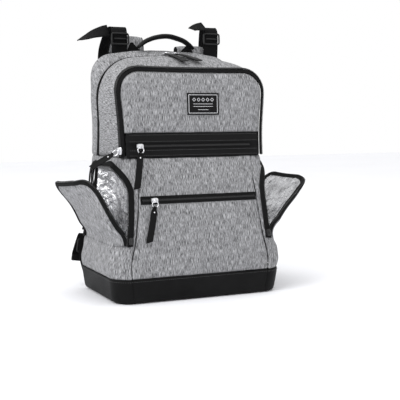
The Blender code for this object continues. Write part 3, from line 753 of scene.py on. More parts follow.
def back_pad_rows():
    """Back pad with rounded corners, as a grid."""
    half, low, high, radius = 0.112, 0.070, 0.395, 0.034
    rows = []
    for z in [lerp(low, high, (1 - math.cos(math.pi * k)) * 0.15 + k * 0.7) for k in steps(0, 1, 56)]:
        edge = min(z - low, high - z)
        round_in = radius - math.sqrt(max(radius**2 - max(radius - edge, 0.0)**2, 0.0))
        reach = lerp(half, half - 0.008, (z - low) / (high - low)) - round_in
        rows.append([Vector((reach * k, BACK_Y + 0.0006, z)) for k in steps(-1, 1, 40)])
    return rows


def pad_seam(co):
    """True on the back pad's sewn channels: a spine down the middle and two cross seams."""
    return abs(abs(co.x) - 0.014) < 0.0029 or min(abs(co.z - z) for z in (0.178, 0.287)) < 0.0030


def wing_rest(u, z, side, label, offset=0.0):
    """Where a point of the pocket's outer wall lies when the wall is unzipped and tipped out.

    The strip that wraps the bag's corner flattens out, and the slack rear corner sinks.
    """
    z = max(z, POCKET_FLOOR)
    height = z - POCKET_FLOOR
    point = side_skin(u, z, side, offset)
    radius = corner_radius(z)
    ahead = radius * math.pi / 2 - u
    if ahead > 0:
        flat = Vector((side * (half_width(z) + offset), front_y(z) + radius - ahead, z))
        point = point.lerp(flat, UNROLL[label] * min(height / 0.110, 1.0))
    pivot = Vector((side * (half_width(POCKET_FLOOR) + 0.0006), 0, POCKET_FLOOR))
    angle = WING_OPEN[label] * ease((height + 0.006) / 0.036)
    moved = Matrix.Rotation(side * angle, 3, "Y") @ (point - pivot) + pivot
    share = ease((height - 0.03) / 0.09)
    wave = math.sin((point.y + 0.02) * 34) * 0.0030 + (point.y - 0.02) * FLARE[label]
    out = Vector((side * math.cos(angle), 0, -math.sin(angle)))
    slack = ease((point.y + 0.086) / 0.048) * ease((height - 0.050) / 0.085)
    return moved + out * wave * share - Vector((0, 0, DROOP[label] * slack))


def wing_rows(side, label, offset=0.0, inset=0.0, across=30, up=26, foot=0.0):
    """Outer wall of a bottle pocket as rows of points, from its foot to its top edge."""
    columns = [(1 - math.cos(math.pi * k)) * 0.25 + k * 0.5 for k in steps(0, 1, across)]
    margin = inset / (MOUTH_REAR[1] - MOUTH_FRONT[1])
    columns = [lerp(margin, 1 - margin, a) for a in columns]
    rows, marks = [], []
    for t in steps(0, 1, up):
        row, mark = [], []
        for a in columns:
            share = (a - margin) / (1 - 2 * margin)
            z = lerp(POCKET_FLOOR + foot, mouth_top(share) - inset, t)
            u = mouth_u(a, z)
            row.append(wing_rest(u, z, side, label, offset))
            mark.append((u, z))
        rows.append(row)
        marks.append(mark)
    return rows, marks


def pouch_rows(side):
    rows = []
    for t in steps(0, 1, 40):
        z = lerp(0.052, 0.244, t)
        row = []
        for a in steps(0, 1, 44):
            u = lerp(0.016, side_length(z) - 0.036, a)
            depth = 0.0054 + 0.029 * (1 - abs(2 * a - 1) ** 4) * (1 - abs(2 * t - 1) ** 6)
            row.append(side_skin(u, z, side, -depth))
        rows.append(row)
    return rows


def crinkle(p):
    """Facets of crumpled foil."""
    near = noise.voronoi(p / 0.016)[0]
    return (near[1] - near[0]) * 0.0032 + soft_noise(p, 0.006, 3.0) * 0.0008


def shape_of_use(p):
    """Broad dents and folds of the filled bag's fabric."""
    low = math.exp(-((p.z - 0.074) / 0.022) ** 2)
    folds = noise.noise(Vector((p.x * 22, p.y * 22, p.z * 62)))
    return soft_noise(p, 0.055) * 0.0016 + low * folds * 0.0030 + soft_noise(p, 0.017, 5) * 0.0005


def make_fabric():
    """Grey panels: simulated as pinned sheets, then creased and given their thickness."""
    front = loose("front_fabric", cloth(front_rows(), away_from=(0, 0, 0.15)), HEATHER, LINING)
    flap = loose("flap_fabric", cloth(flap_patch(), away_from=(0, 0, 0.3)), HEATHER, LINING)
    setback = 0.0032 / (ZIP_Y - FOLD_Y)
    gusset = loose("lid_gusset_fabric", cloth([gusset_rib(v) for v in steps(0.066, 1 - setback, 14)],
                                              away_from=(0, 0, 0.2)), HEATHER, LINING)
    rear = loose("rear_gusset_fabric", cloth(
        [rear_rib(v, y, inset) for v, y, inset in
         ((0.0, ZIP_Y + 0.0036, 0), (0.25, 0.046, -0.0009), (0.5, 0.055, -0.0015), (0.8, 0.063, -0.001),
          (1.0, 0.068, 0), (1.0, 0.0720, 0.0010), (1.0, 0.0748, 0.0034),
          (1.0, BACK_Y, BACK_RADIUS - 0.0006))], away_from=(0, 0, 0.2)), HEATHER, LINING)
    pad = loose("back_pad", cloth(back_pad_rows(), away_from=(0, 0, 0.2)), MESH, LINING)
    sides = {label: side_sheet(label, side) for label, side in SIDES.items()}
    edges = {obj: edge_of(obj) for obj in (front, flap, gusset, rear, pad, *sides.values())}

    def on_zip(v):
        return abs(v.co.z - sum(ZIP_LOW) / 2) < 0.0085 and abs(v.co.x) < ZIP_HALF + 0.002

    def under_label(v):
        return (abs(v.co.x - LABEL_AT[0]) < LABEL_HOLD[0]
                and abs(v.co.z - LABEL_AT[1]) < LABEL_HOLD[1])
    sheets = [(front, lambda v: v.index in edges[front] or on_zip(v), 3.0, 0.012, 0.0050),
              (flap, lambda v: v.index in edges[flap] or under_label(v), 2.0, 0.008, 0.0040),
              (gusset, lambda v: v.index in edges[gusset], 3.0, 0.008, 0.0040),
              (pad, lambda v: v.index in edges[pad] or pad_seam(v.co), 9.0, 0.03, 0.0085)]
    for sheet in sides.values():
        sheets.append((sheet, lambda v, s=sheet: v.index in edges[s], 3.0, 0.012, 0.0050))
    settle(sheets)
    for obj in (front, flap, gusset, rear, *sides.values()):
        held = edges[obj]
        rim = [obj.data.vertices[i].co.copy() for i in held]
        crumple(obj, shape_of_use)
        for i, place in zip(held, rim):
            vert = obj.data.vertices[i]
            fold = abs(place.z - POCKET_FLOOR) < 0.001 and abs(place.x) > HINGE_X
            vert.co = place - vert.normal * (0.0 if fold else SEAM_DEPTH)
    dress(front, "body", "front_lower_panel", FABRIC)
    dress(flap, "front_flap", "flap_panel", FABRIC)
    dress(gusset, "main_lid", "front_gusset", FABRIC)
    dress(rear, "body", "rear_gusset", FABRIC)
    dress(pad, "body", "back_padding", 0.0012)
    for label, sheet in sides.items():
        dress(sheet, "body", f"side_panel_{label}", FABRIC)


def make_pockets():
    """Foil pouches, the unzipped outer walls and the zip tapes round them."""
    for label, side in SIDES.items():
        pouch = loose(f"foil_pouch_{label}", cloth(pouch_rows(side), away_from=(0, 0, 0.15)), FOIL)
        crumple(pouch, crinkle)
        dress(pouch, "body", f"pocket_pouch_{label}", 0.0005, smooth=0, sharp=18)

        axis = ("body", f"wing_{label}", (side * 0.16, 0, POCKET_FLOOR + 0.0005),
                (side * 0.16, 0, POCKET_FLOOR + 0.016))
        rows, marks = wing_rows(side, label)
        wing = loose(f"pocket_wall_{label}", cloth(rows, away_from=(0, 0, 0.12), coords=marks),
                     HEATHER, LINING)
        crumple(wing, lambda p: soft_noise(p, 0.045, 2) * 0.0020 * ease((p.z - 0.101) / 0.02))
        dress(wing, axis, f"wing_{label}", FABRIC)

        rows, _ = wing_rows(side, label, -FABRIC - 0.0012, 0.004, foot=0.003)
        inner = loose(f"pocket_foil_{label}", cloth(rows, away_from=(0, 0, 0.12)), FOIL)
        crumple(inner, lambda p: crinkle(p) * 0.45 - 0.0008)
        dress(inner, axis, f"wing_foil_{label}", 0.0004, smooth=0, sharp=18)
        make_mouth_tapes(label, side, axis)


def make_mouth_tapes(label, side, axis):
    """Zip tapes on both sides of a pocket's mouth; the body's tape stands up towards the mouth."""
    def body(u, z, lift):
        return side_skin(u, z, side, lift)

    def wall(u, z, lift):
        return wing_rest(u, max(z, POCKET_FLOOR + 0.0006), side, label, lift)

    def rows(place, profile):
        return [[place(u, z, lift) for u, z in mouth_line(d)] for d, lift in profile]
    body_rows = rows(body, ((-0.0014, 0.0040), (0.0002, 0.0052), (0.0024, 0.0044), (0.0070, 0.0026),
                            (0.0078, 0.0006)))
    wall_rows = rows(wall, ((-0.0004, 0.0004), (-0.0006, 0.0016), (-0.0030, 0.0019), (-0.0072, 0.0016),
                            (-0.0078, 0.0002)))
    binding = rows(wall, ((0.0002, 0.0008), (0.0010, -0.0010), (0.0006, -0.0034), (-0.0010, -0.0048),
                          (-0.0050, -0.0052), (-0.0092, -0.0050)))
    zip_strip(f"mouth_tape_{label}", body_rows, "body", f"pocket_tape_{label}", (0, 0, 0.15))
    zip_strip(f"wall_tape_{label}", wall_rows, axis, f"wing_tape_{label}", (side * 0.10, 0, 0.12))
    dress(loose(f"wall_binding_{label}", cloth(binding, away_from=(side * 0.2, 0, 0.12)), TAPE),
          axis, thick=0.0008, smooth=0, sharp=50)


def make_boot():
    """Leatherette base: side walls, rounded lower edge, floor and a turned top edge."""
    def ring(z, inset):
        loop = []
        for side in (1.0, -1.0):
            length = side_length(z)
            half = [side_skin(u, z, side, -inset) for u in NEAR_SEAM + steps(0.008, length, 60)]
            loop += half if side > 0 else half[::-1]
            if side > 0:
                y = half[-1].y
                reach = half[-1].x
                loop += [Vector((reach * k, y, z)) for k in steps(1, -1, 24)[1:-1]]
        y, reach = loop[0].y, loop[0].x
        near = [d for d in NEAR_SEAM if d]
        stops = [d - reach for d in near] + steps(0.008 - reach, reach - 0.008, 22)
        loop += [Vector((x, y, z)) for x in stops + [reach - d for d in near[::-1]]]
        return loop
    profile = [(0.0002, 0.0140), (0.0004, 0.0075), (0.0012, 0.0035), (0.0032, 0.0010), (0.0070, 0.0)]
    profile += [(z, 0.0) for z in steps(0.012, BOOT_TOP - 0.0020, 6)]
    profile += [(BOOT_TOP - 0.0006, 0.0003), (BOOT_TOP, 0.0012)]
    rows = [ring(z, inset) for z, inset in profile]
    bm = cloth(rows, closed=True)
    bm.verts.ensure_lookup_table()
    floor = bm.faces.new([bm.verts[i] for i in range(len(rows[0]))])
    bmesh.ops.triangulate(bm, faces=[floor])
    bmesh.ops.recalc_face_normals(bm, faces=bm.faces)
    boot = loose("boot", bm, LEATHER, LINING)

    def dents(p):
        if p.z < 0.004:
            return 0.0
        seam = abs(abs(p.x) - (half_width(p.z) - corner_radius(p.z)))
        groove = -0.0030 * math.exp(-(seam / 0.0016) ** 2) if p.y < -0.09 else 0.0
        return soft_noise(p, 0.045, 7) * 0.0011 + groove
    crumple(boot, dents)
    dress(boot, "body", "base_boot", 0.0020, sharp=60)
    bm = bmesh.new()
    path = ring(BOOT_TOP - 0.0038, -0.0003)
    stitch_line(bm, path + path[:1], lambda p: Vector((p.x, p.y + 0.02, 0)).normalized(), 0.0040)
    dress(loose("boot_stitching", bm, THREAD), "body", smooth=0)


def make_band():
    """Black band across the flap with its zip."""
    columns = steps(-0.1295, 0.1295, 40)
    lower, upper = ZIP_BAND

    def lift(z):
        from_zip = min(abs(z - lower), abs(z - upper))
        inside = lower < z < upper
        return -0.0012 if inside else 0.0004 + 0.0010 * math.exp(-(from_zip / 0.0035) ** 2)
    heights = [FOLD_Z + SEAM, 0.2530, 0.2570, 0.2610, 0.2635, lower - 0.0004, lower + 0.0004, 0.2700,
               upper - 0.0004, upper + 0.0004, 0.2765, 0.2790, 0.2830, 0.2875, BAND_TOP - SEAM]
    rows = [[flap_point(x, z, lift(z)) for x in columns] for z in heights]
    band = loose("band", cloth(rows, away_from=(0, 0, 0.3)), BAND, LINING)
    crumple(band, lambda p: soft_noise(p, 0.040, 4) * 0.0006)
    dress(band, "front_flap", "flap_band", FABRIC * 0.8)
    straight_zip("band_zip", lambda x, z, d: flap_point(x, z, d), "front_flap",
                 "band_zip_tape", tape=(lower + 0.0002, upper - 0.0002), proud=0.0002)
    bm = bmesh.new()
    for z in (FOLD_Z + 0.0035, 0.2625, 0.2778, BAND_TOP - 0.0028):
        stitch_line(bm, [flap_point(x, z, 0.0010) for x in steps(-0.124, 0.124, 30)], (0, -1, 0.1))
    dress(loose("band_stitching", bm, THREAD), "front_flap", smooth=0)


def straight_zip(name, surface, body, stands_for, tape, proud):
    """Closed zip across the front: a tape with one line of meshed teeth down its middle."""
    low, high = tape
    middle = (low + high) / 2
    heights = [low, low + 0.0006, middle - 0.0016, middle - 0.0012, middle + 0.0012, middle + 0.0016,
               high - 0.0006, high]
    lifts = [0.0, 0.0007, 0.0008, 0.0004, 0.0004, 0.0008, 0.0007, 0.0]
    rows = [[surface(x, z, proud + lift) for x in steps(-ZIP_HALF, ZIP_HALF, 48)]
            for z, lift in zip(heights, lifts)]
    strip = loose(name + "_strip", cloth(rows, away_from=(0, 0, low)), TAPE, COIL)
    modify(strip, "SOLIDIFY", thickness=0.0009, offset=-1.0)
    bake(strip)
    bm = bmesh.new()
    for half in (-1, 1):
        path = [surface(x, middle + half * 0.0002, proud + 0.0008)
                for x in steps(-ZIP_HALF + 0.003 + 0.0005 * half, ZIP_HALF - 0.003, 60)]
        teeth(bm, path, lambda i: Vector((0, -1, 0)), lambda i, h=half: Vector((0, 0, -h)),
              size=(0.0026, 0.0009, 0.0011), pitch=0.0020)
    coil = loose(name + "_coil", bm, TAPE, COIL)
    dress(join(strip, coil), body, stands_for, smooth=0, sharp=40)


def make_zips():
    straight_zip("lower_zip", lambda x, z, d: Vector((x, front_y(z) - d, z)), "body",
                 "lower_zip_tape", tape=ZIP_LOW, proud=0.0010)
    centre = (0, -0.02, 0.30)
    inner = [flap_line(d, lift) for d, lift in ((0.0004, 0.0010), (0.0016, 0.0017), (0.0036, 0.0018),
                                                (0.0056, 0.0012), (0.0064, 0.0))]
    zip_strip("u_zip_inner", inner, "front_flap", "u_zip_inner_tape", centre)
    outer = [gusset_rib(v, lift) for v, lift in ((0.004, 0.0012), (0.014, 0.0018), (0.034, 0.0018),
                                                 (0.056, 0.0012), (0.066, 0.0))]
    zip_strip("u_zip_outer", outer, "main_lid", "u_zip_outer_tape", centre)
    span = ZIP_Y - FOLD_Y
    profile = ((0.0002, -0.0012), (0.0012, -0.0002), (0.0026, 0.0005), (0.0042, 0.0004),
               (0.0048, -0.0004))
    front = [gusset_rib(1 - d / span, lift) for d, lift in profile]
    zip_strip("main_zip_front", front, "main_lid", "main_zip_front_tape", centre, lift=0.0003)
    rear = [[p + arch_normal(p) * lift for p in rear_rib(0.0, ZIP_Y + d)] for d, lift in profile]
    zip_strip("main_zip_rear", rear, "body", "main_zip_rear_tape", centre, lift=0.0003)


def arch_normal(p):
    """Direction straight out of the bag at a point of the main zip."""
    return Vector((p.x, 0, p.z - 0.33)).normalized()


def make_back():
    """Back panel behind the pad."""
    inset = BACK_RADIUS + 0.0018
    outline = arch(inset, BACK_TOP - inset, BACK_ARCH_RADIUS - inset, BACK_CROWN, BOOT_TOP + SEAM,
                   30, 8, 10)
    half = len(outline) // 2
    rows = [[Vector((outline[i][0] * (1 - 2 * k), BACK_Y - 0.0003, outline[i][1]))
             for k in steps(0, 1, 30)] for i in range(half)]
    panel = loose("back_cloth", cloth(rows, away_from=(0, 0, 0.2)), BAND, LINING)
    crumple(panel, lambda p: min(soft_noise(p, 0.05, 9) * 0.0012, 0.0003))
    dress(panel, "body", "back_panel", 0.0024)


def make_inside():
    """Compartment dividers, each a sheet of lining, and the base board."""
    low = [[Vector((x, front_y(z) + 0.040, z)) for x in steps(-0.108, 0.108, 24)]
           for z in steps(0.012, FOLD_Z - 0.001, 20)]
    high = [[Vector((x, -0.041, z)) for x in steps(-0.126, 0.126, 26)]
            for z in steps(FOLD_Z + 0.003, 0.386, 14)]
    for name, rows, body, height, seed in (("lower", low, "body", 0.1, 11),
                                           ("upper", high, "main_lid", 0.3, 12)):
        wall = loose(f"divider_{name}", cloth(rows, away_from=(0, 0.1, height)), LINING)
        crumple(wall, lambda p, seed=seed: soft_noise(p, 0.05, seed) * 0.0015)
        dress(wall, body, f"compartment_divider_{name}", 0.0012)
    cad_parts["base_board"].data.materials[0] = LINING


# ---------------------------------------------------------------- sliders and pulls
def loft(bm, rings, closed=False):
    """Quads between rings of vertices, each ring running round to its own start."""
    pairs = list(zip(rings, rings[1:])) + ([(rings[-1], rings[0])] if closed else [])
    for a, b in pairs:
        for i in range(len(a)):
            k = (i + 1) % len(a)
            bm.faces.new((a[i], a[k], b[k], b[i]))


def ring_mesh(bm, major, minor, where, segments=28, sides=10, turn=2 * math.pi):
    """Ring or part of a ring in its own XY plane."""
    closed = turn > 6.2
    count = segments if closed else segments + 1
    rings = []
    for i in range(count):
        a = turn * i / segments
        rings.append([bm.verts.new(where @ Vector(((major + minor * math.cos(b)) * math.cos(a),
                                                   (major + minor * math.cos(b)) * math.sin(a),
                                                   minor * math.sin(b))))
                      for b in (2 * math.pi * j / sides for j in range(sides))])
    loft(bm, rings[::-1], closed)
    if not closed:
        bm.faces.new(rings[0])
        bm.faces.new(rings[-1][::-1])


def plate_mesh(bm, outline, low, high, where):
    """Flat plate from an outline, between two heights."""
    bottom = [bm.verts.new(where @ Vector((x, y, low))) for x, y in outline]
    top = [bm.verts.new(where @ Vector((x, y, high))) for x, y in outline]
    bm.faces.new(bottom[::-1])
    bm.faces.new(top)
    loft(bm, [bottom, top])


def slider(name, at, along, up, body, look=STEEL):
    """Zip slider: two shields joined by a wedge, and the bail that holds the pull."""
    where = placement(at, along, up)
    bm = bmesh.new()
    shield = [(-0.0030, -0.0060), (0.0030, -0.0060), (0.0038, -0.0030), (0.0042, 0.0030),
              (0.0030, 0.0058), (0.0012, 0.0062), (-0.0012, 0.0062), (-0.0030, 0.0058),
              (-0.0042, 0.0030), (-0.0038, -0.0030)]
    plate_mesh(bm, shield, 0.0005, 0.0017, where)
    plate_mesh(bm, shield, -0.0016, -0.0006, where)
    plate_mesh(bm, [(-0.0012, 0.0005), (0.0012, 0.0005), (0.0018, 0.0055), (-0.0018, 0.0055)],
               -0.0008, 0.0008, where)
    for edge in (-1, 1):
        rail = [(edge * 0.0042, -0.0030), (edge * 0.0042, 0.0040), (edge * 0.0035, 0.0040),
                (edge * 0.0033, -0.0030)]
        plate_mesh(bm, rail if edge > 0 else rail[::-1], -0.0001, 0.0007, where)
    obj = loose(f"{name}_body", bm, look)
    modify(obj, "BEVEL", width=0.0004, segments=2, limit_method="ANGLE")
    bake(obj)
    bm = bmesh.new()
    upright = where @ Matrix.Translation((0, 0, 0.0012)) @ ON_EDGE
    ring_mesh(bm, 0.0029, 0.00085, upright, 14, 8, math.pi)
    bail = loose(f"{name}_bail", bm, look)
    dress(join(obj, bail), body, f"{name}_slider", smooth=0, sharp=35)


def pull(name, root, tip, up, ring_body, tab_body, width=0.0115, has_ring=True, bow=0.0016):
    """Ring and leather tab that hang from a slider's bail."""
    root, tip = Vector(root), Vector(tip)
    length = (tip - root).length
    where = placement(root, tip - root, up)
    bm = bmesh.new()
    if has_ring:
        start = 2 * RING_R + RING_WIRE - 0.0004
        ring_mesh(bm, RING_R, RING_WIRE * 1.1, where @ Matrix.Translation((0, RING_R, 0)))
        dress(loose(f"{name}_loop", bm, STEEL), ring_body, f"{name}_ring", smooth=0)
    else:
        start = 0.0085
        ring_mesh(bm, 0.0028, RING_WIRE, where @ Matrix.Translation((0, 0.0062, 0.0006)))
        dress(loose(f"{name}_link", bm, STEEL), tab_body, smooth=0)
    half = width / 2
    neck, shoulder = half * 0.58, 0.0075
    rows = []
    for y in steps(start, length, 26):
        wide = lerp(neck, half, ease((y - start) / shoulder))
        row = []
        for k in (-1, -0.9, -0.6, 0, 0.6, 0.9, 1):
            reach = y - 0.0052 * (1 - k) / 2 * ease((y - length + 0.016) / 0.016)
            share = (reach - start) / (length - start)
            lift = bow * math.sin(math.pi * share) + 0.0008 - 0.0003 * k * k
            row.append(where @ Vector((wide * k, reach, lift)))
        rows.append(row)
    below = where @ Vector((0, length / 2, -1))
    tab = loose(f"{name}_leather", cloth(rows, away_from=below), LEATHER)
    modify(tab, "SOLIDIFY", thickness=0.0019, offset=-1.0)
    modify(tab, "BEVEL", width=0.0004, segments=2, limit_method="ANGLE", angle_limit=math.radians(50))
    bake(tab)
    if has_ring:
        around = where @ Matrix.Translation((0, start + 0.0002, 0)) @ ON_EDGE
        rolled = []
        for turn in steps(0, math.pi, 8):
            bend = Vector((-0.0021 * math.sin(turn), 0.0021 * math.cos(turn), 0))
            rolled.append([around @ (bend + Vector((0, 0, k * neck))) for k in (-1, 1)])
        wrap = loose(f"{name}_wrap", cloth(rolled), LEATHER)
        modify(wrap, "SOLIDIFY", thickness=0.0009, offset=0.0)
        bake(wrap)
        tab = join(tab, wrap)
    rivet = bmesh.new()
    at = where @ Matrix.Translation((0, start + 0.0080, 0.0012 + bow * 0.35)) @ Matrix.Diagonal(
        (0.0014, 0.0014, 0.0008, 1))
    bmesh.ops.create_uvsphere(rivet, u_segments=14, v_segments=8, radius=1.0, matrix=at)
    dress(loose(f"{name}_rivet", rivet, STEEL), tab_body, smooth=0)
    dress(tab, tab_body, f"{name}_tab", smooth=0, sharp=35)


def make_pulls():
    forward = (0, -1, 0.1)
    for name, x, z, tip, slider_body, ring_body, tab_body in (
            ("band_zip", -0.106, 0.2700, (-0.121, -0.1065, 0.1960),
             "band_slider", "band_ring", "band_pull"),
            ("lower_zip", -0.087, 0.1775, (-0.103, -0.1155, 0.1040),
             "lower_slider", "lower_pull", "lower_pull")):
        y = front_y(z) - 0.0015
        slider(name, (x, y - 0.0021, z), (1, 0, 0), forward, slider_body)
        pull(name, (x, y - 0.0076, z - 0.001), tip, forward, ring_body, tab_body)
    at = Vector((-rib_half(0.262), front_y(0.262) + RIB_SETBACK, 0.262))
    out = Vector((-0.75, -0.66, 0))
    slider("u_zip", at + out * 0.0040, (0, 0, 1), out, "u_slider")
    pull("u_zip", at + out * 0.0100, (-0.1865, -0.052, 0.2315), (-0.4, -0.6, 0.6), "u_pull", "u_pull")
    for label, x, tip in (("left", -0.0085, (-0.0035, -0.049, 0.4185)),
                          ("right", 0.0085, (0.0265, -0.047, 0.4200))):
        slider(f"main_zip_{label}", (x, ZIP_Y, ZIP_TOP + 0.0022), (1, 0, 0), (0, 0, 1),
               f"main_slider_{label}")
        pull(f"main_zip_{label}", (x, ZIP_Y - 0.001, ZIP_TOP + 0.0062), tip, (0, 0, 1),
             f"main_pull_{label}", f"main_pull_{label}", width=0.0160, has_ring=False)
    for label, side in SIDES.items():
        z = POCKET_FLOOR + 0.010
        u = mouth_line(0.004)[3].x
        at = side_skin(u, z, side, 0.0050)
        slider(f"pocket_zip_{label}", at, side_skin(u + 0.0005, z + 0.01, side, 0.0050) - at,
               at - side_skin(u, z, side, 0.0), f"pocket_slider_{label}", COIL)


# ---------------------------------------------------------------- handle, straps and webbing
def rounded_square(count, power):
    """(across, up) pairs round a rounded square of half size 1."""
    turns = [2 * math.pi * k / count for k in range(count)]
    return [tuple(math.copysign(abs(v) ** power, v) for v in (math.cos(a), math.sin(a))) for a in turns]


def tube_rows(path, across, half_wide, half_thick, sides=20, power=2.6):
    """Rings of a flattened tube along a path."""
    rows = []
    for i, point in enumerate(path):
        along = (path[min(i + 1, len(path) - 1)] - path[max(i - 1, 0)]).normalized()
        side = Vector(across)
        side = (side - along * side.dot(along)).normalized()
        up = side.cross(along)
        wide = half_wide(i / (len(path) - 1))
        thick = half_thick(i / (len(path) - 1))
        rows.append([point + side * wide * c + up * thick * s
                     for c, s in rounded_square(sides, 2 / power)])
    return rows


def closed_tube(rows):
    bm = cloth(rows, closed=True)
    bm.verts.ensure_lookup_table()
    count = len(rows[0])
    bm.faces.new([bm.verts[i] for i in range(count)])
    bm.faces.new([bm.verts[len(bm.verts) - count + i] for i in range(count)])
    bmesh.ops.recalc_face_normals(bm, faces=bm.faces)
    return bm


def make_handle():
    path = curve_points([(HANDLE_X + x, HANDLE_Y, z) for x, z in
                         ((-0.057, HANDLE_Z + 0.0010), (-0.035, 0.4625), (0, 0.4700),
                          (0.035, 0.4625), (0.057, HANDLE_Z + 0.0010))], 12)
    rows = tube_rows(path, (0, 1, 0), lambda t: lerp(0.0070, 0.0098, math.sin(math.pi * t) ** 0.4),
                     lambda t: lerp(0.0020, 0.0048, math.sin(math.pi * t) ** 0.5), 20, 2.2)
    grip = loose("handle_padding", closed_tube(rows), LEATHER)
    crumple(grip, lambda p: soft_noise(p, 0.012, 6) * 0.0005)
    dress(grip, "handle", "handle_grip", sharp=70)
    for label, side in SIDES.items():
        rows = []
        for t in steps(0, 1, 8):
            z = lerp(0.4245, 0.4580, t)
            inner = lerp(0.040, 0.0555, ease(max(z - 0.440, 0) / 0.018))
            outer = lerp(0.0680, 0.0612, ease(max(z - 0.440, 0) / 0.018))
            rows.append([Vector((side * x, BACK_Y + 0.0026, z)) for x in steps(inner, outer, 6)])
        patch = loose(f"anchor_patch_{label}", cloth(rows, away_from=(0, 0, 0.43)), WEBBING)
        dress(patch, "body", f"handle_anchor_{label}", 0.0020, sharp=50)
        bm = bmesh.new()
        corners = [Vector((side * x, BACK_Y + 0.0027, z)) for x, z in
                   ((0.0435, 0.4270), (0.0648, 0.4270), (0.0648, 0.4420), (0.0435, 0.4420))]
        for a, b in ((0, 1), (1, 2), (2, 3), (3, 0), (0, 2), (1, 3)):
            stitch_line(bm, [corners[a], corners[b]], (0, 1, 0), 0.0030, 0.0021)
        dress(loose(f"anchor_stitching_{label}", bm, THREAD), "body", smooth=0)


def make_strap(label, side):
    """Padded shoulder strap: grey outside, air mesh towards the wearer, bound edges."""
    top, rise = STRAP_X[label], STRAP_RISE[label]
    knots = [(top, 0.0850, 0.410), (top, 0.0885, 0.444 + rise), (top + 0.001, 0.1010, 0.447 + rise),
             (0.073, 0.1120, 0.395), (0.079, 0.1170, 0.320), (0.089, 0.1170, 0.230),
             (0.112, 0.1120, 0.150), (0.132, 0.1080, 0.105)]
    path = curve_points([(side * x, y, z) for x, y, z in knots], 9)

    def half(t):
        return lerp(0.0300, 0.0180, max(0.0, (t - 0.60) / 0.40))
    rows = tube_rows(path, (1, 0, 0), half, lambda t: 0.0050 * (1 - 0.25 * t), 28, 2.8)
    strap = loose(f"strap_padding_{label}", closed_tube(rows), HEATHER, MESH)
    strap.data.update()
    for face in strap.data.polygons:
        inward = face.normal.y < -0.25 if face.center.z < 0.44 else face.normal.z < -0.2
        face.material_index = 1 if inward else 0
    crumple(strap, lambda p: soft_noise(p, 0.03, 8 + side) * 0.0007)
    dress(strap, "body", f"shoulder_strap_{label}", sharp=80)
    bm = bmesh.new()
    for edge in (-1, 1):
        line = []
        for i, point in enumerate(path):
            t = i / (len(path) - 1)
            line.append(point + Vector((edge * (half(t) - 0.0005), 0, 0)))
        rings = tube_rows(line, (1, 0, 0), lambda t: 0.0017, lambda t: 0.0026, 8, 2.0)
        loft(bm, [[bm.verts.new(p) for p in ring] for ring in rings])
    bmesh.ops.recalc_face_normals(bm, faces=bm.faces)
    dress(loose(f"strap_binding_{label}", bm, TAPE), "body", smooth=0)


def make_webbing(label, side):
    """Lower strap webbing with its ladder lock, and the stroller loop with its tri-glide."""
    web = curve_points([(side * 0.1545, 0.1225, 0.047), (side * 0.1525, 0.1245, 0.060),
                        (side * 0.1430, 0.1190, 0.0930), (side * 0.141, 0.1110, 0.090),
                        (side * 0.146, 0.1020, 0.055), (side * 0.142, 0.0830, 0.018)], 8)
    rows = ribbon_rows(web, (1, 0, 0.15), 0.025)
    strip = loose(f"adjuster_webbing_{label}", cloth(rows), WEBBING)
    modify(strip, "SOLIDIFY", thickness=0.0016, offset=0.0)
    bake(strip)
    hem = [Vector((side * 0.1545 + k * 0.025, 0.1215, 0.0490 + side * k * 0.0037))
           for k in steps(-0.5, 0.5, 6)]
    roll = loose(f"webbing_hem_{label}", closed_tube(tube_rows(
        hem, (0, 1, 0), lambda t: 0.0040, lambda t: 0.0062, 16, 2.0)), WEBBING)
    dress(join(strip, roll), "body", f"lower_webbing_{label}", smooth=0, sharp=60)
    where = placement((side * 0.142, 0.1162, 0.072), (side * 0.15, -0.02, -1), (0, 1, 0))
    buckle(f"ladder_lock_body_{label}", where, 0.0170, 0.0140, 0.0040, f"ladder_lock_{label}")
    x, lift = LOOP_X[label], LOOP_LIFT[label]
    loop = curve_points([(side * x, 0.0795, 0.424), (side * x, 0.0770, 0.455),
                         (side * x, 0.0780, 0.474 + lift), (side * x, 0.0880, 0.4830 + lift),
                         (side * (x + 0.004), 0.1050, 0.476 + lift),
                         (side * (x + 0.010), 0.1225, 0.448), (side * (x + 0.012), 0.1260, 0.415)], 8)
    strip = loose(f"loop_webbing_{label}", cloth(ribbon_rows(loop, (1, 0, 0), 0.030)), WEBBING)
    dress(strip, "body", f"stroller_loop_{label}", 0.0018, smooth=0, offset=0.0)
    where = placement((side * x, 0.0732, 0.4610 + lift), (0, 0.06, 1), (0, -1, 0))
    buckle(f"tri_glide_{label}", where, 0.0180, 0.0115, 0.0034, f"loop_buckle_{label}")


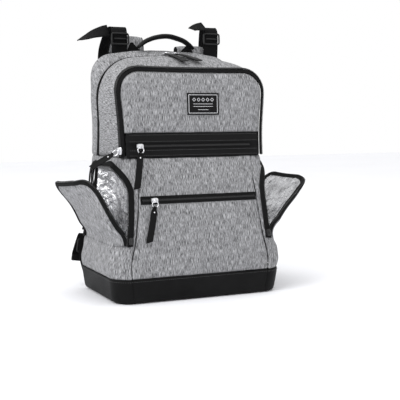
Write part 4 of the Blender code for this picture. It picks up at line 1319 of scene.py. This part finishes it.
def buckle(name, where, half_wide, half_high, thick, stands_for):
    """Moulded buckle: a rounded frame with a bar across it."""
    bm = bmesh.new()
    bar, corner = 0.0032, 0.0035
    outline = []
    for cx, cy, first in ((1, 1, 0), (-1, 1, 1), (-1, -1, 2), (1, -1, 3)):
        for k in range(5):
            a = math.pi / 2 * (first + k / 4)
            outline.append(Vector((cx * (half_wide - corner) + corner * math.cos(a),
                                   cy * (half_high - corner) + corner * math.sin(a), 0)))
    path = [Vector((p.x - math.copysign(bar / 2, p.x), p.y - math.copysign(bar / 2, p.y), 0))
            for p in outline]
    rings = []
    for i, point in enumerate(path):
        along = (path[(i + 1) % len(path)] - path[i - 1]).normalized()
        out = along.cross(Vector((0, 0, 1)))
        rings.append([bm.verts.new(where @ (point + out * bar / 2 * c + Vector((0, 0, thick / 2 * s))))
                      for c, s in rounded_square(10, 0.7)])
    loft(bm, rings, closed=True)
    bmesh.ops.create_cone(bm, cap_ends=True, segments=12, radius1=0.0019, radius2=0.0019,
                          depth=2 * half_wide - bar,
                          matrix=where @ Matrix.Rotation(math.pi / 2, 4, "Y"))
    bmesh.ops.recalc_face_normals(bm, faces=bm.faces)
    dress(loose(name, bm, PLASTIC), "body", stands_for, smooth=1, sharp=60)


def twist(first, last, count):
    """Directions that turn evenly from the first to the last."""
    return [Vector(first).lerp(Vector(last), k) for k in steps(0, 1, count - 1)]


def make_tails():
    """Free ends of the stroller loops' webbing, twisting as they fall away."""
    for label, knots, first, last in (
            ("left", [(-0.0985, 0.0948, 0.4792), (-0.1089, 0.0952, 0.4779), (-0.1266, 0.0955, 0.4727),
                      (-0.1423, 0.0960, 0.4657), (-0.1549, 0.0960, 0.4604)],
             (0.1, 0.5, 1.0), (0.2, 1.0, 0.1)),
            ("right", [(0.0930, 0.0795, 0.4928), (0.0815, 0.0785, 0.4915), (0.0730, 0.0780, 0.4896),
                       (0.0655, 0.0780, 0.4868)],
             (0.0, 0.8, 0.7), (0.0, 0.95, 0.25))):
        path = curve_points(knots, 8)
        rows = ribbon_rows(path, twist(first, last, len(path)), 0.026, 0.0006)
        dress(loose(f"tail_webbing_{label}", cloth(rows), WEBBING), "body",
              f"loop_tail_{label}", 0.0018, smooth=0, offset=0.0)


def make_label():
    """Woven patch with a pale border and a plain pattern of lines and diamonds."""
    low, high = Vector(LABEL_AT) - Vector(LABEL_HALF), Vector(LABEL_AT) + Vector(LABEL_HALF)
    rows = [[flap_point(x, z, 0.0019) for x in steps(low.x, high.x, 16)]
            for z in steps(low.y, high.y, 10)]
    dress(loose("woven_label", cloth(rows, away_from=(0, 0, 0.3)), BAND), "front_flap",
          "label_patch", 0.0012, smooth=0)
    bm = bmesh.new()

    def line(x0, z0, x1, z1, thick=0.0005):
        points = [Vector((lerp(x0, x1, k), lerp(z0, z1, k))) for k in steps(0, 1, 8)]
        along = (points[-1] - points[0]).normalized()
        side = Vector((-along.y, along.x)) * thick
        for a, b in zip(points, points[1:]):
            quad = [a - side, b - side, b + side, a + side]
            bm.faces.new([bm.verts.new(flap_point(p.x, p.y, 0.0022)) for p in quad])
    inset = 0.0032
    x0, z0, x1, z1 = low.x + inset, low.y + inset, high.x - inset, high.y - inset
    for a in ((x0, z0, x1, z0), (x1, z0, x1, z1), (x1, z1, x0, z1), (x0, z1, x0, z0)):
        line(*a)
    middle = (x0 + x1) / 2
    for k in range(-2, 3):
        x, z, r = middle + k * 0.0088, z1 - 0.0085, 0.0030
        for a, b in ((0, 1), (1, 2), (2, 3), (3, 0)):
            corner = [(x - r, z), (x, z + r), (x + r, z), (x, z - r)]
            line(*corner[a], *corner[b], 0.00045)
    for z, reach in ((z1 - 0.0160, 0.019), (z1 - 0.0205, 0.019), (z1 - 0.0262, 0.010)):
        line(middle - reach, z, middle + reach, z, 0.0004)
    dress(loose("label_pattern", bm, PRINT), "front_flap", thick=0.0003, smooth=0)


# ---------------------------------------------------------------- fold-out side cloth of the lid
def make_lid_folds():
    """Cloth folded away at the lid's hinge line."""
    for label, side in SIDES.items():
        rows = []
        for k in steps(0, 1, 12):
            z = lerp(FOLD_Z - 0.0030, FOLD_Z + 0.0030, k)
            rows.append([Vector((side * (half_width(FOLD_Z) - 0.0032 - 0.0012 * (i % 2)
                                         - 0.012 * (1 - ease((y + 0.075) / 0.03))), y, z))
                         for i, y in enumerate(steps(-0.0745, ZIP_Y, 16))])
        cloth_obj = loose(f"lid_fold_{label}", cloth(rows, away_from=(0, 0, 0.25)), LINING)
        dress(cloth_obj, ("body", "main_lid", (0, 0, FOLD_Z - 0.0022), (0, 0, FOLD_Z + 0.0022)),
              thick=0.0006, smooth=0)


# ---------------------------------------------------------------- studio
def make_studio():
    floor = loose("floor", cloth([[Vector((x, y, -0.0004)) for x in (-4, 4)] for y in (-4, 4)]))
    look = Look("studio_floor", (0.86, 0.86, 0.86), 0.75)
    look.paint(look.grain(3, 1.0), grey((0.3, 0.93), (0.7, 0.95)))
    floor.data.materials.append(look.material)
    world = bpy.data.worlds.new("studio")
    bpy.context.scene.world = world
    bpy.context.scene.view_settings.view_transform = "Standard"
    world.use_nodes = True
    back = world.node_tree.nodes["Background"]
    back.inputs["Color"].default_value = (1.0, 1.0, 1.0, 1.0)
    back.inputs["Strength"].default_value = 1.0
    for name, place, power, size in (("key", (-2.3, -0.9, 1.7), 34, 1.2),
                                     ("top", (-0.2, -0.2, 2.4), 14, 1.4)):
        data = bpy.data.lights.new(name, "AREA")
        data.energy, data.size = power, size
        lamp = bpy.data.objects.new(name, data)
        lamp.location = place
        lamp.rotation_euler = (Vector((0, 0, 0.22)) - Vector(place)).to_track_quat("-Z", "Y").to_euler()
        bpy.context.scene.collection.objects.link(lamp)
    data = bpy.data.cameras.new("camera")
    data.lens, data.sensor_width = LENS, SENSOR
    camera = bpy.data.objects.new("camera", data)
    camera.location = CAMERA_AT
    camera.rotation_euler = CAMERA_TURN
    bpy.context.scene.collection.objects.link(camera)
    bpy.context.scene.camera = camera


make_studio()
make_fabric()
make_pockets()
make_boot()
make_band()
make_zips()
make_back()
make_inside()
make_pulls()
make_handle()
for side_label, side_sign in SIDES.items():
    make_strap(side_label, side_sign)
    make_webbing(side_label, side_sign)
make_tails()
make_label()
make_lid_folds()
